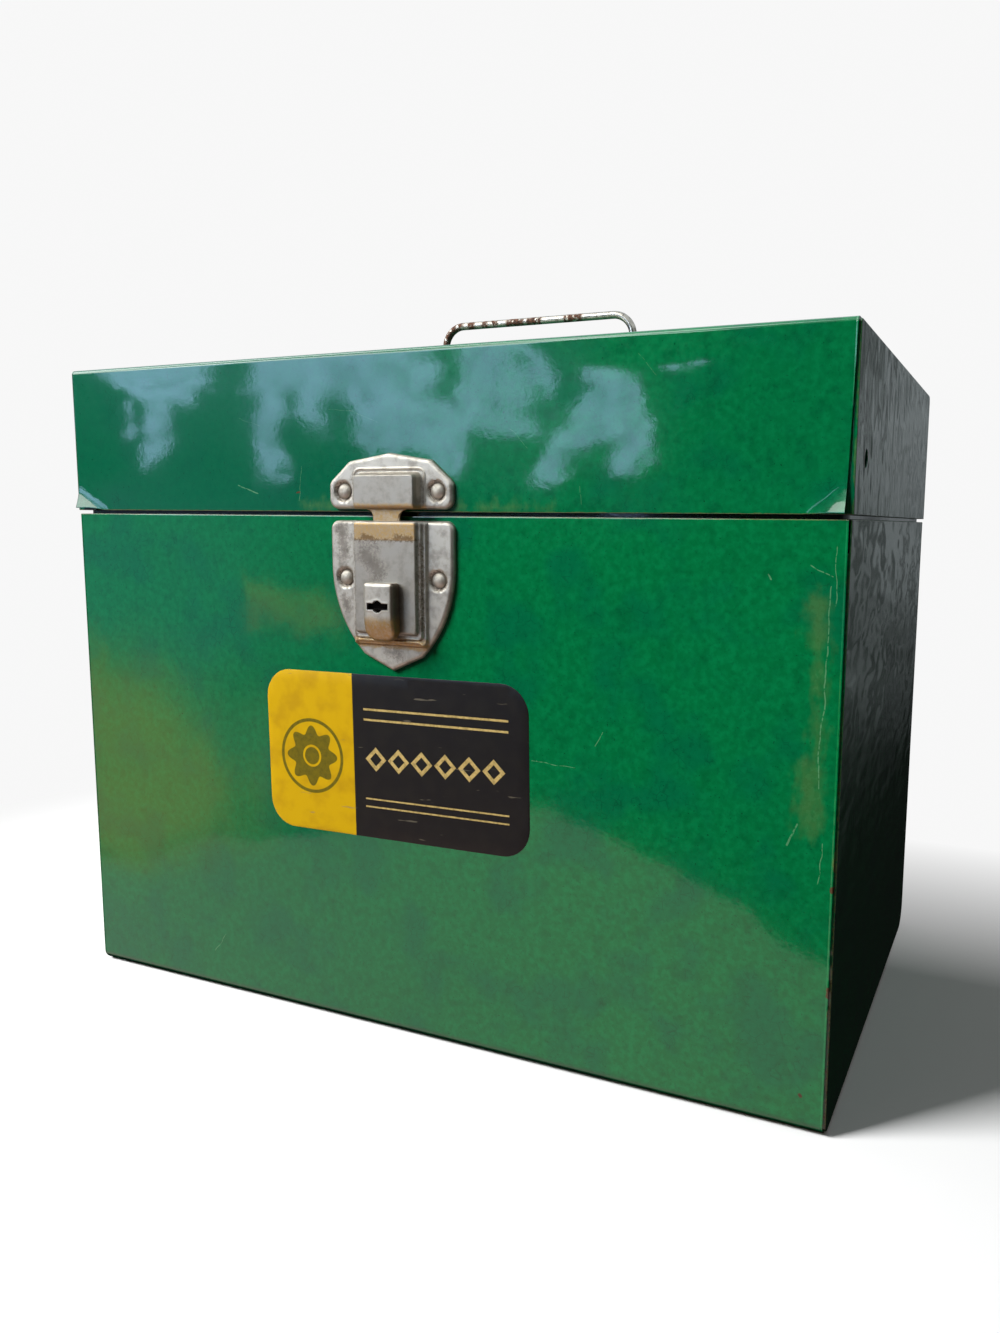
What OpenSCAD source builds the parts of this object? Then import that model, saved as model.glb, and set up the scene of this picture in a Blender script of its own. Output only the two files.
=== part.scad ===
// Steel deed box with a hinged lid, a snap latch with a key slot and a wire bail handle.
// Millimetres. The origin is the centre of the flat underside, +X to the right, +Y to the back, +Z up.

/* [Box] */
// Outer width of the body, across the end panels
body_w = 317.5; // [260:0.5:400]
// Outer depth of the body, front face to back face
body_d = 197; // [150:0.5:300]
// Height of the body up to the shoulder at the seam
body_h = 196; // [150:0.5:300]
// Height of the lid, lower edge to top
lid_h = 56.6; // [45:0.2:120]
// Gap of the seam between the shoulder and the lid
seam_gap = 1.4; // [0.8:0.1:2.4]
// How far the lid stands outside the body on each side
lid_over = 0.4; // [0:0.1:0.8]
// Thickness of the steel sheet
sheet_t = 0.6; // [0.5:0.05:0.8]
// Outer radius of the bend along the bottom's front
bottom_front_bend_r = 4.5; // [2:0.5:8]
// Outer radius of the bend along the bottom's back
bottom_back_bend_r = 11; // [4:0.5:14]
// Outer radius of the bend along the lid's front
lid_front_bend_r = 1.6; // [1.2:0.1:4]
// Outer radius of the bend along the lid's back
lid_back_bend_r = 3.6; // [1.5:0.1:8]

/* [End panels] */
// How far an end panel stands past the edge of the bent sheet
end_reveal = 0.9; // [0.7:0.1:1.5]
// Width of the flanges turned inwards from an end panel
flange_w = 10; // [6:1:16]
// Diameter of the hanging hole in each end of the lid
hang_hole_d = 5.8; // [3:0.1:8]
// Distance of the hanging hole from the front face
hang_hole_back = 18.8; // [14:0.2:40]
// Height of the hanging hole above the lid's lower edge
hang_hole_up = 17.2; // [12:0.2:30]

/* [Collar] */
// Distance of the collar's outer face from the body's outer face
collar_inset = 1.9; // [1.7:0.1:3]
// Height of the collar above the shoulder
collar_h = 7; // [4:0.5:7.5]
// Depth of the band that fixes the collar inside the body
collar_band_h = 10; // [6:0.5:10]
// Corner radius of the collar
collar_r = 6; // [3:0.5:10]

/* [Label] */
// Width of the label
label_w = 114; // [80:1:140]
// Height of the label
label_h = 62; // [40:1:64]
// Corner radius of the label
label_r = 11; // [2:0.5:16]
// Thickness of the label
label_t = 0.12; // [0.05:0.01:0.3]
// Place of the label's centre to the right of the box's centre
label_x = -4.2; // [-40:0.2:40]
// Gap between the shield's point and the label's upper edge
label_gap = 2.2; // [2:0.1:20]
// Turn of the label on the face, in degrees
label_tilt = 0.75; // [-3:0.25:3]

/* [Latch] */
// Place of the latch to the right of the box's centre
latch_x = -2.2; // [-40:0.2:40]
// Thickness of the plated sheet that the latch is pressed from
latch_t = 0.9; // [0.7:0.05:1]
// Width of the shield and of the hasp plate
shield_w = 52.2; // [50:0.2:56]
// Height of the shield, top edge to point
shield_h = 54.1; // [54:0.1:60]
// Drop of the shield's top edge below the shoulder
shield_drop = 1.7; // [1:0.1:3]
// Width of the raised case at its base
case_base_w = 30.4; // [29:0.2:31.4]
// Width of the raised case at its face
case_w = 26.4; // [25:0.2:27]
// Height of the case's face
case_h = 40.5; // [39:0.5:41.5]
// Distance of the case's step below its face
case_foot = 4.4; // [3:0.2:5]
// How far the case's step stands out from the body
case_step = 3; // [2.6:0.1:3.4]
// How far the case's face stands out from the body
case_proud = 5.6; // [5.5:0.1:6.5]
// Width of the boss on the hasp plate
boss_w = 27.6; // [25:0.2:30]
// Height of the boss on the hasp plate
boss_h = 13.2; // [12.4:0.2:14]
// How far the boss stands out from the lid
boss_proud = 5.7; // [5.6:0.1:6.5]
// Width of the tongue that enters the case
tongue_w = 11.2; // [9:0.2:12]
// Thickness of the tongue
tongue_t = 1.1; // [0.8:0.1:1.2]
// Depth of the tongue below the shoulder
tongue_drop = 12; // [8:0.5:12.5]
// Distance between the two rivets of each plate
rivet_span = 39.4; // [38:0.2:41]

/* [Slide and lock] */
// Width of the thumb slide
slide_w = 12.8; // [12:0.2:14]
// Height of the thumb slide
slide_h = 21; // [20:0.5:22]
// Drop of the slide's top edge below the shoulder
slide_drop = 23.5; // [22.5:0.5:24.5]
// How far the thumb slide stands out from the case
slide_proud = 4.9; // [4.6:0.1:6]
// Travel of the thumb slide
slide_travel = 4; // [2:0.5:4]
// Running clearance between the slide and the case
slide_fit = 0.3; // [0.2:0.05:0.4]
// Width of the key slot
key_slot_w = 8.9; // [7:0.1:9]
// Height of the key slot
key_slot_h = 1.7; // [1.2:0.1:2]
// Diameter of the round middle of the key slot
key_hole_d = 3.9; // [3:0.1:4.4]
// Radius of the key cam's hub
cam_hub_r = 2; // [1.6:0.1:2.2]
// Radial running clearance of the hub in its bore
cam_fit = 0.05; // [0.02:0.01:0.08]
// Reach of the cam's finger from its axis
cam_finger = 5; // [3.5:0.1:5]
// Outer diameter of the return spring
spring_d = 2.2; // [1.6:0.1:2.4]

/* [Hinges] */
// Distance of each hinge's middle from the end of the body
hinge_in = 64; // [40:1:78]
// Length of each hinge
hinge_len = 50; // [40:1:70]
// Height of each leaf from the hinge axis
leaf_h = 20; // [17:0.5:26]
// Thickness of the leaves
leaf_t = 1; // [0.8:0.1:1.2]
// Outer radius of the knuckles
knuckle_r = 2.4; // [2.3:0.1:3]
// Radius of the hinge pins
pin_r = 1.25; // [1:0.05:1.3]
// Radial running clearance of the pins
pin_fit = 0.05; // [0.02:0.01:0.08]

/* [Rivets] */
// Radius of the domed rivet heads on the latch
latch_head_r = 2.8; // [2.4:0.1:3]
// Height of the domed rivet heads on the latch
latch_head_h = 1.5; // [1:0.1:1.8]
// Radius of the dished seat around those heads
dish_r = 3.9; // [3.4:0.1:4]
// Radius of the rivet heads on hinges and clips
rivet_head_r = 2.3; // [2:0.1:2.4]
// Height of the rivet heads on hinges and clips
rivet_head_h = 1; // [0.7:0.1:1.1]
// Radius of the rivet shanks
shank_r = 1.5; // [1.2:0.1:1.7]
// Radius of the closed rivet tails
tail_r = 2.1; // [1.9:0.1:2.2]
// Height of the closed rivet tails
tail_h = 0.8; // [0.5:0.1:0.9]

/* [Handle] */
// Place of the handle's middle to the right of the box's centre
handle_x = 2; // [-20:0.5:20]
// Distance of the handle's axis behind the box's centre
handle_y = 6.3; // [-20:0.1:20]
// Width of the bail between the centre lines of its legs
bail_w = 91.4; // [70:0.2:120]
// Height of the bail's bar above its pivot axis
bail_h = 25.6; // [20:0.2:40]
// Diameter of the bail's wire
wire_d = 3.2; // [2.6:0.1:4]
// Radius of the bail's upper bends, on the wire's centre line
bail_bend_r = 9; // [6:0.5:14]
// Radius of the bends at the bail's feet, on the wire's centre line
foot_bend_r = 3.2; // [2.4:0.1:5]
// Gap between the folded bail and the lid
bail_gap = 0.3; // [0.2:0.1:1]
// Width of each clip along the foot
clip_w = 10; // [8:0.5:14]
// Thickness of the clips
clip_t = 0.9; // [0.7:0.1:1.2]
// Length of each clip's tabs
clip_tab = 8; // [7:0.5:12]
// Radial running clearance of the feet in the clips
clip_fit = 0.05; // [0.02:0.01:0.08]

/* [Hidden] */

// Finish colours
enamel = "#0f7a4a";
nickel = "#b9b5ac";
steel = "#8e8c88";
label_black = "#15140f";

// Fineness of true round faces and of the arcs in outlines
$fn = 48;
arc_steps = 8;
// How far a cut runs past the face that it opens
over = 1;
// Gap between sheets that lie on each other, and around rivet shanks
lap_fit = 0.05;

// Faces of the body and of the lid
half_w = body_w / 2;
front_y = -body_d / 2;
back_y = body_d / 2;
seam_z = body_h;
lid_half_w = half_w + lid_over;
lid_front_y = front_y - lid_over;
lid_back_y = back_y + lid_over;
lid_z = seam_z + seam_gap;
lid_top = lid_z + lid_h;
// Inner face of a bent sheet, seen from its outer face, with the gap to what lies inside
lap = sheet_t + lap_fit;

// Radius of a bend seen from deeper in the sheet, by the given distance
function deeper(r, by) = max(r - by, 0);

// Points of an arc about c from angle a to angle b, or c alone where the radius is nought
function arc(c, r, a, b) =
    r <= 0 ? [c]
        : [for (i = [0:arc_steps]) let (t = a + (b - a) * i / arc_steps) c + r * [cos(t), sin(t)]];

// A rectangle from lo to hi, with radii for the corners at low-left, low-right, high-right, high-left
function rounded(lo, hi, r) = concat(
    arc([lo.x + r[0], lo.y + r[0]], r[0], 180, 270),
    arc([hi.x - r[1], lo.y + r[1]], r[1], 270, 360),
    arc([hi.x - r[2], hi.y - r[2]], r[2], 0, 90),
    arc([lo.x + r[3], hi.y - r[3]], r[3], 90, 180));

// A right half outline, listed from bottom to top, with its mirror image
function both_sides(half) =
    concat(half, [for (i = [len(half) - 1:-1:0]) [-half[i].x, half[i].y]]);

// Extrudes an outline drawn in Y and Z along X, from x0 to x1
module along_x(x0, x1) {
    translate([x0, 0, 0]) rotate([90, 0, 90]) linear_extrude(x1 - x0) children();
}

// Extrudes an outline drawn in X and Z outwards from the front, from depth p0 to depth p1
module outwards(p0, p1) {
    translate([0, front_y - p0, 0]) rotate([90, 0, 0]) linear_extrude(p1 - p0) children();
}

// A block on the front, from lo to hi in X and Z, standing from depth p0 to depth p1
module front_block(lo, hi, p0, p1) {
    outwards(p0, p1) translate(lo) square(hi - lo);
}

// A cylinder square to the front, at x and z, from depth p0 to depth p1
module front_pin(x, z, r, p0, p1) {
    outwards(p0, p1) translate([x, z]) circle(r);
}

// A rivet along +Z: domed head above 0, shank and closed tail below a stack of sheets
module rivet(head_r, head_h, stack) {
    ball_r = (head_r * head_r + head_h * head_h) / (2 * head_h);
    rotate_extrude()
        polygon(concat([[0, -stack - tail_h], [tail_r, -stack - tail_h], [tail_r, -stack],
            [shank_r, -stack], [shank_r, 0]],
            arc([0, head_h - ball_r], ball_r, asin((ball_r - head_h) / ball_r), 90)));
}

// Bent sheets
// Outline of a channel whose bends are at the low side, with its outer corners and its bend radii
module channel(y0, y1, z0, z1, r_front, r_back) {
    difference() {
        polygon(rounded([y0, z0], [y1, z1], [r_front, r_back, 0, 0]));
        polygon(rounded([y0 + sheet_t, z0 + sheet_t], [y1 - sheet_t, z1 + over],
            [deeper(r_front, sheet_t), deeper(r_back, sheet_t), 0, 0]));
    }
}

module body_wrap() {
    color(enamel) difference() {
        along_x(end_reveal - half_w, half_w - end_reveal)
            channel(front_y, back_y, 0, seam_z, bottom_front_bend_r, bottom_back_bend_r);
        for (s = [-1, 1])
            front_pin(latch_x + s * rivet_span / 2, latch_rivet_z, shank_r + lap_fit, -over, over);
        for (h = [-1, 1], s = [-1, 1])
            hinge_rivet_hole(h * hinge_x + s * hinge_rivet_x, -1, back_y);
    }
}

module lid_wrap() {
    color(enamel) difference() {
        translate([0, 0, lid_top + lid_z]) mirror([0, 0, 1])
            along_x(end_reveal - lid_half_w, lid_half_w - end_reveal)
                channel(lid_front_y, lid_back_y, lid_z, lid_top, lid_front_bend_r, lid_back_bend_r);
        for (x = hasp_rivet_xs)
            front_pin(x, hasp_rivet_z, shank_r + lap_fit, lid_over - over, lid_over + over);
        for (h = [-1, 1], s = [-1, 1])
            hinge_rivet_hole(h * hinge_x + s * hinge_rivet_x, 1, lid_back_y);
        for (p = clip_rivet_places)
            translate([p.x, p.y, lid_top - sheet_t - over])
                cylinder(r = shank_r + lap_fit, h = sheet_t + 2 * over);
    }
}

// An end panel for +X: a plate with a flange turned inwards along three of its sides
module end_panel(x1, y0, y1, z0, z1, r_front, r_back, flange_z1) {
    along_x(x1 - sheet_t, x1)
        polygon(rounded([y0, z0], [y1, z1], [r_front, r_back, 0, 0]));
    along_x(x1 - flange_w, x1 - sheet_t)
        channel(y0, y1, z0, flange_z1, r_front, r_back);
}

module body_end() {
    color(enamel)
        end_panel(half_w, front_y + lap, back_y - lap, lap, seam_z,
            deeper(bottom_front_bend_r, lap), deeper(bottom_back_bend_r, lap),
            seam_z - collar_band_h - lap_fit);
}

module lid_end() {
    color(enamel) difference() {
        translate([0, 0, lid_top + lid_z]) mirror([0, 0, 1])
            end_panel(lid_half_w, lid_front_y + lap, lid_back_y - lap, lid_z + lap, lid_top,
                deeper(lid_front_bend_r, lap), deeper(lid_back_bend_r, lap), lid_top);
        translate([lid_half_w - sheet_t - over, front_y + hang_hole_back, lid_z + hang_hole_up])
            rotate([0, 90, 0]) cylinder(d = hang_hole_d, h = sheet_t + 2 * over);
    }
}

module body_end_left() { mirror([1, 0, 0]) body_end(); }
module body_end_right() { body_end(); }
module lid_end_left() { mirror([1, 0, 0]) lid_end(); }
module lid_end_right() { lid_end(); }

// A slab of the body's plan, drawn in from the outer faces by inset
module plan_slab(inset, z0, z1) {
    corner = [half_w - inset, back_y - inset];
    translate([0, 0, z0]) linear_extrude(z1 - z0)
        polygon(rounded(-corner, corner, [collar_r, collar_r, collar_r, collar_r]));
}

module body_collar() {
    color(enamel) difference() {
        union() {
            plan_slab(lap, seam_z - collar_band_h, seam_z);
            plan_slab(collar_inset, seam_z - over, seam_z + collar_h);
        }
        plan_slab(lap + sheet_t, seam_z - collar_band_h - over, seam_z - sheet_t);
        plan_slab(collar_inset + sheet_t, seam_z - collar_band_h - over, seam_z + collar_h + over);
    }
}

module label() {
    half = [label_w, label_h] / 2;
    label_z = shield_point - label_gap - label_h / 2;
    color(label_black) outwards(0, label_t)
        translate([label_x, label_z]) rotate(label_tilt)
            polygon(rounded(-half, half, [label_r, label_r, label_r, label_r]));
}

// Latch, on the body
shield_top = seam_z - shield_drop;
shield_point = shield_top - shield_h;
latch_rivet_z = shield_top - 20.8;
dish_depth = 0.35;
latch_seat = latch_t - dish_depth;
case_low = shield_top - case_h;
case_in = case_proud - latch_t;
// How far the sides of the pressed blocks slope in
step_draft = 0.5;
case_draft = 0.4;

// Latch, on the lid
hasp_low = lid_z + 0.9;
hasp_rivet_z = hasp_low + 6.3;
hasp_rivet_xs = [latch_x - rivet_span / 2, latch_x, latch_x + rivet_span / 2];
boss_low = hasp_low - 0.1;
boss_face = lid_over + boss_proud;
tongue_back = case_in - tongue_t - 0.7;
tongue_face = tongue_back + tongue_t;
tongue_low = seam_z - tongue_drop;
tongue_clear = 0.4;
neck_w = tongue_w + 5.2;
neck_r = (neck_w - tongue_w) / 2;
neck_z = boss_low - 0.1;
window_half = 3.2;
window_up = 2;
window_h = 3;

// Right half of the shield: point, small step, swept side, rounded top corner
shield_half = let (
        w = shield_w / 2, sweep_r = 44.7, sweep_z = shield_top - 16.3, sweep_end = -44.6,
        corner = 3.2, step_x = w - 13, step_z = sweep_z - 31.6, notch = [0.7, 0.7])
    concat([[0, shield_point], [step_x, step_z] - notch, [step_x, step_z]],
        arc([w - sweep_r, sweep_z], sweep_r, sweep_end, 0),
        arc([w - corner, shield_top - corner], corner, 0, 90));

// Right half of the hasp plate: rounded low corner, sloped shoulder and shallow crown
hasp_half = let (w = shield_w / 2, corner = 3.6, side_h = 9, shoulder_h = 17.1, hasp_h = 19.8)
    concat(arc([w - corner, hasp_low + corner], corner, -90, 0),
        [[w, hasp_low + side_h], [w - 1, hasp_low + side_h + 1.4],
            [w - 8.8, hasp_low + shoulder_h], [w - 14, hasp_low + shoulder_h + 0.8],
            [0, hasp_low + hasp_h]]);

// A pressed block whose sides slope in by draft, from lo to hi in X and Z
module pressed(lo, hi, draft, p0, p1) {
    inner = [draft, draft];
    hull() {
        front_block(lo, hi, p0, p0 + 0.01);
        front_block(lo + inner, hi - inner, p1 - 0.01, p1);
    }
}

module latch_plate() {
    half_base = case_base_w / 2;
    half_case = case_w / 2;
    base_low = case_low - case_foot;
    inside = half_case - latch_t;
    step_wall = latch_t + step_draft;
    color(nickel) difference() {
        union() {
            outwards(0, latch_t) translate([latch_x, 0]) polygon(both_sides(shield_half));
            pressed([latch_x - half_base, base_low], [latch_x + half_base, shield_top],
                step_draft, latch_t / 2, case_step);
            pressed([latch_x - half_case - case_draft, case_low - case_draft],
                [latch_x + half_case + case_draft, shield_top],
                case_draft, case_step / 2, case_proud);
        }
        front_block([latch_x - inside, case_low + latch_t], [latch_x + inside, shield_top - latch_t],
            -over, case_in);
        front_block([latch_x - half_base + step_wall, base_low + step_wall],
            [latch_x + half_base - step_wall, shield_top - latch_t], -over, case_step - latch_t);
        front_block([latch_x - tongue_w / 2 - tongue_clear, shield_top - 2 * latch_t],
            [latch_x + tongue_w / 2 + tongue_clear, shield_top + over],
            tongue_back - tongue_clear, case_in);
        front_block([latch_x - stem_half - slide_fit, key_z - stem_half - slide_travel - slide_fit],
            [latch_x + stem_half + slide_fit, key_z + stem_half + slide_fit], case_in - over,
            case_proud + over);
        for (s = [-1, 1]) {
            front_pin(latch_x + s * rivet_span / 2, latch_rivet_z, shank_r + lap_fit, -over, over + latch_t);
            front_pin(latch_x + s * rivet_span / 2, latch_rivet_z, dish_r, latch_t - dish_depth, case_step);
        }
    }
}

module latch_plate_rivets() {
    for (s = [-1, 1])
        color(nickel) translate([latch_x + s * rivet_span / 2, front_y - latch_seat, latch_rivet_z])
            rotate([90, 0, 0]) rivet(latch_head_r, latch_head_h, latch_seat + sheet_t);
}

module hasp_plate() {
    half_boss = boss_w / 2;
    inside = half_boss - latch_t;
    color(nickel) difference() {
        union() {
            outwards(lid_over, lid_over + latch_t)
                translate([latch_x, 0]) polygon(both_sides(hasp_half));
            pressed([latch_x - half_boss, boss_low], [latch_x + half_boss, boss_low + boss_h],
                case_draft, lid_over + latch_t / 2, boss_face);
        }
        front_block([latch_x - inside, boss_low + latch_t], [latch_x + inside, boss_low + boss_h - latch_t],
            lid_over - over, boss_face - latch_t);
        front_block([latch_x - neck_w / 2 - lap_fit, boss_low - over],
            [latch_x + neck_w / 2 + lap_fit, boss_low + 2 * latch_t],
            tongue_back - lap_fit, tongue_face + lap_fit);
        for (s = [-1, 1]) {
            front_pin(latch_x + s * rivet_span / 2, hasp_rivet_z, shank_r + lap_fit, 0,
                lid_over + latch_t + over);
            front_pin(latch_x + s * rivet_span / 2, hasp_rivet_z, dish_r,
                lid_over + latch_seat, boss_face);
        }
    }
}

// The tongue: a foot on the lid inside the boss, a web, and the flared strip that hangs into the case
module hasp_tongue() {
    foot_low = boss_low + latch_t + 1.2;
    foot_top = boss_low + boss_h - latch_t - 1;
    color(nickel) difference() {
        union() {
            front_block([latch_x - neck_w / 2, foot_low], [latch_x + neck_w / 2, foot_top],
                lid_over, lid_over + tongue_t);
            front_block([latch_x - neck_w / 2, foot_low], [latch_x + neck_w / 2, foot_low + tongue_t],
                lid_over, tongue_face);
            front_block([latch_x - neck_w / 2, neck_z - neck_r], [latch_x + neck_w / 2, foot_low + tongue_t],
                tongue_back, tongue_face);
            front_block([latch_x - tongue_w / 2, tongue_low], [latch_x + tongue_w / 2, neck_z],
                tongue_back, tongue_face);
        }
        for (s = [-1, 1])
            front_pin(latch_x + s * neck_w / 2, neck_z - neck_r, neck_r, tongue_back - over,
                tongue_face + over);
        front_block([latch_x - window_half, tongue_low + window_up],
            [latch_x + window_half, tongue_low + window_up + window_h],
            tongue_back - over, tongue_face + over);
        front_pin(latch_x, hasp_rivet_z, shank_r + lap_fit, 0, lid_over + tongue_t + over);
    }
}

module hasp_rivets() {
    for (s = [-1, 1])
        color(nickel) translate([latch_x + s * rivet_span / 2, lid_front_y - latch_seat, hasp_rivet_z])
            rotate([90, 0, 0]) rivet(latch_head_r, latch_head_h, latch_seat + sheet_t);
    color(steel) translate([latch_x, lid_front_y - tongue_t, hasp_rivet_z])
        rotate([90, 0, 0]) rivet(rivet_head_r, rivet_head_h, tongue_t + sheet_t);
}

// Slide and lock
slide_top = seam_z - slide_drop;
slide_in = case_proud + slide_fit;
slide_face = case_proud + slide_proud;
slide_wall = 1.2;
slide_draft = 0.7;
slide_bevel = 1.2;
slide_low_r = 4.6;
slide_top_r = 1.4;
key_z = slide_top - 8.3;
stem_half = 3.2;
bolt_t = 1;
bolt_face = case_in - slide_fit;
bolt_back = bolt_face - bolt_t;
bolt_half = 8.4;
bolt_low = 4.5;
bolt_up = 5;
arm_half = 4;
arm_back = 1.3;
nose_half = 2.6;
nose_h = 2.2;
nose_air = 0.35;
nose_z = tongue_low + window_up + 0.4;
inner_plate_t = 0.8;
spring_wire = 0.4;
spring_x = latch_x - 6.4;
spring_depth = inner_plate_t + 0.1 + spring_d / 2;
spring_top = key_z - 2;
spring_seat = case_low + latch_t + inner_plate_t + 0.2;
core_half = 4.4;
cam_air = 0.2;
cam_disc_t = 1.1;
cam_slot_depth = 0.8;
cam_disc_r = slide_w / 2 - slide_wall - 2 * cam_air;
cam_disc_face = slide_face - latch_t - cam_air;
cam_disc_back = cam_disc_face - cam_disc_t;
finger_back = arm_back + bolt_t;
finger_face = bolt_back - 0.3;
finger_half = 1.2;
tab_half = 2;
tab_t = 0.8;

module latch_inner_plate() {
    plate_half = case_w / 2 - latch_t - slide_fit;
    color(steel) {
        front_block([latch_x - plate_half, spring_seat - tab_t],
            [latch_x + plate_half, shield_top - latch_t - slide_fit], 0, inner_plate_t);
        front_block([spring_x - tab_half, spring_seat - tab_t], [spring_x + tab_half, spring_seat],
            inner_plate_t, spring_depth + spring_d / 2);
    }
}

// Outline of the thumb slide, drawn in from its base by inset: near-square top, round bottom
module slide_outline(inset) {
    half = slide_w / 2 - inset;
    low = slide_top - slide_h + inset;
    polygon(rounded([latch_x - half, low], [latch_x + half, slide_top - inset],
        [slide_low_r - inset, slide_low_r - inset, slide_top_r - inset, slide_top_r - inset]));
}

module thumb_slide() {
    color(nickel) difference() {
        hull() {
            outwards(slide_in, slide_face - slide_bevel) slide_outline(0);
            outwards(slide_face - 0.01, slide_face) slide_outline(slide_draft);
        }
        outwards(slide_in - over, slide_face - latch_t) slide_outline(slide_wall);
        front_block([latch_x - key_slot_w / 2, key_z - key_slot_h / 2],
            [latch_x + key_slot_w / 2, key_z + key_slot_h / 2], slide_in, slide_face + over);
        front_pin(latch_x, key_z, key_hole_d / 2, slide_in, slide_face + over);
    }
}

module slide_core() {
    half = slide_w / 2 - slide_wall - lap_fit;
    color(steel) difference() {
        union() {
            front_block([latch_x - half, key_z - core_half], [latch_x + half, key_z + core_half],
                slide_in + slide_fit, cam_disc_back - cam_air);
            front_block([latch_x - stem_half, key_z - stem_half], [latch_x + stem_half, key_z + stem_half],
                bolt_face, slide_in + slide_fit);
        }
        front_pin(latch_x, key_z, cam_hub_r + cam_fit, bolt_face - over, slide_face);
    }
}

module latch_bolt() {
    web_z = key_z + bolt_up;
    color(steel) difference() {
        union() {
            front_block([latch_x - bolt_half, key_z - bolt_low], [latch_x + bolt_half, web_z + bolt_t],
                bolt_back, bolt_face);
            front_block([latch_x - arm_half, web_z], [latch_x + arm_half, web_z + bolt_t],
                arm_back, bolt_face);
            front_block([latch_x - arm_half, web_z], [latch_x + arm_half, nose_z + nose_h],
                arm_back, arm_back + bolt_t);
            front_block([latch_x - nose_half, nose_z], [latch_x + nose_half, nose_z + nose_h],
                arm_back, tongue_back - nose_air);
            front_block([spring_x - tab_half, spring_top], [spring_x + tab_half, spring_top + tab_t],
                spring_depth - spring_d / 2, bolt_face);
        }
        front_pin(latch_x, key_z, cam_hub_r + 0.6, bolt_back - over, bolt_face + over);
    }
}

module bolt_spring() {
    color(steel) translate([spring_x, front_y - spring_depth, spring_seat]) difference() {
        cylinder(d = spring_d, h = spring_top - spring_seat);
        translate([0, 0, -over])
            cylinder(d = spring_d - 2 * spring_wire, h = spring_top - spring_seat + 2 * over);
    }
}

module key_cam() {
    slot_half = min(key_slot_w / 2, cam_disc_r - 0.5);
    color(steel) difference() {
        union() {
            front_pin(latch_x, key_z, cam_disc_r, cam_disc_back, cam_disc_face);
            front_pin(latch_x, key_z, cam_hub_r, finger_back, cam_disc_back);
            outwards(finger_back, finger_face) translate([latch_x, key_z])
                polygon(rounded([0, -finger_half], [cam_finger, finger_half],
                    [0, finger_half, finger_half, 0]));
        }
        front_block([latch_x - slot_half, key_z - key_slot_h / 2],
            [latch_x + slot_half, key_z + key_slot_h / 2], cam_disc_face - cam_slot_depth,
            cam_disc_face + over);
    }
}

// Hinges
knuckle_air = 0.3;
axis_y = lid_back_y + knuckle_r + knuckle_air;
axis_z = seam_z + seam_gap / 2;
hinge_x = half_w - hinge_in;
hinge_rivet_x = hinge_len / 2 - 10;
hinge_rivet_z = leaf_h - 6.5;
pin_head_r = pin_r + 0.5;
pin_head_t = 0.6;
knuckle_third = hinge_len / 6;
middle_knuckle = [[knuckle_air / 2 - knuckle_third, knuckle_third - knuckle_air / 2]];
outer_knuckles = [[-hinge_len / 2, -knuckle_third - knuckle_air / 2],
    [knuckle_third + knuckle_air / 2, hinge_len / 2]];

module hinge_rivet_hole(x, side, y) {
    translate([x, y, axis_z + side * hinge_rivet_z]) rotate([90, 0, 0])
        cylinder(r = shank_r + lap_fit, h = 4 * (leaf_t + sheet_t), center = true);
}

// A cylinder about the hinge axis between two places along X
module about_axis(r, x0, x1) {
    translate([x0, axis_y, axis_z]) rotate([0, 90, 0]) cylinder(r = r, h = x1 - x0);
}

// A leaf on the wall at y, above the axis (side 1) or below it (side -1), with its own knuckles
module hinge_leaf(side, y, own, others) {
    web_out = knuckle_r - 0.1;
    z_far = axis_z + side * leaf_h;
    z_near = axis_z + side * web_out;
    z_web = axis_z + side * (web_out - leaf_t);
    color(nickel) difference() {
        union() {
            translate([-hinge_len / 2, y, min(z_far, z_near)])
                cube([hinge_len, leaf_t, leaf_h - web_out]);
            for (k = own) {
                translate([k[0], y, min(z_near, z_web)]) cube([k[1] - k[0], axis_y - y, leaf_t]);
                about_axis(knuckle_r, k[0], k[1]);
            }
        }
        about_axis(pin_r + pin_fit, -hinge_len, hinge_len);
        for (k = others)
            about_axis(knuckle_r + knuckle_air, k[0] - knuckle_air, k[1] + knuckle_air);
        for (s = [-1, 1]) hinge_rivet_hole(s * hinge_rivet_x, side, y);
    }
}

module hinge_pin() {
    head_in = hinge_len / 2 + lap_fit;
    head_out = head_in + pin_head_t;
    color(steel) {
        about_axis(pin_r, -head_out, head_out);
        about_axis(pin_head_r, -head_out, -head_in);
        about_axis(pin_head_r, head_in, head_out);
    }
}

module body_leaf() { hinge_leaf(-1, back_y, outer_knuckles, middle_knuckle); }
module lid_leaf() { hinge_leaf(1, lid_back_y, middle_knuckle, outer_knuckles); }

module hinge_left_body_leaf() { translate([-hinge_x, 0, 0]) body_leaf(); }
module hinge_right_body_leaf() { translate([hinge_x, 0, 0]) body_leaf(); }
module hinge_left_lid_leaf() { translate([-hinge_x, 0, 0]) lid_leaf(); }
module hinge_right_lid_leaf() { translate([hinge_x, 0, 0]) lid_leaf(); }
module hinge_left_pin() { translate([-hinge_x, 0, 0]) hinge_pin(); }
module hinge_right_pin() { translate([hinge_x, 0, 0]) hinge_pin(); }

module leaf_rivets(side, y) {
    for (h = [-1, 1], s = [-1, 1])
        color(nickel)
            translate([h * hinge_x + s * hinge_rivet_x, y + leaf_t, axis_z + side * hinge_rivet_z])
                rotate([-90, 0, 0]) rivet(rivet_head_r, rivet_head_h, leaf_t + sheet_t);
}

module hinge_body_rivets() { leaf_rivets(-1, back_y); }
module hinge_lid_rivets() { leaf_rivets(1, lid_back_y); }

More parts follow.
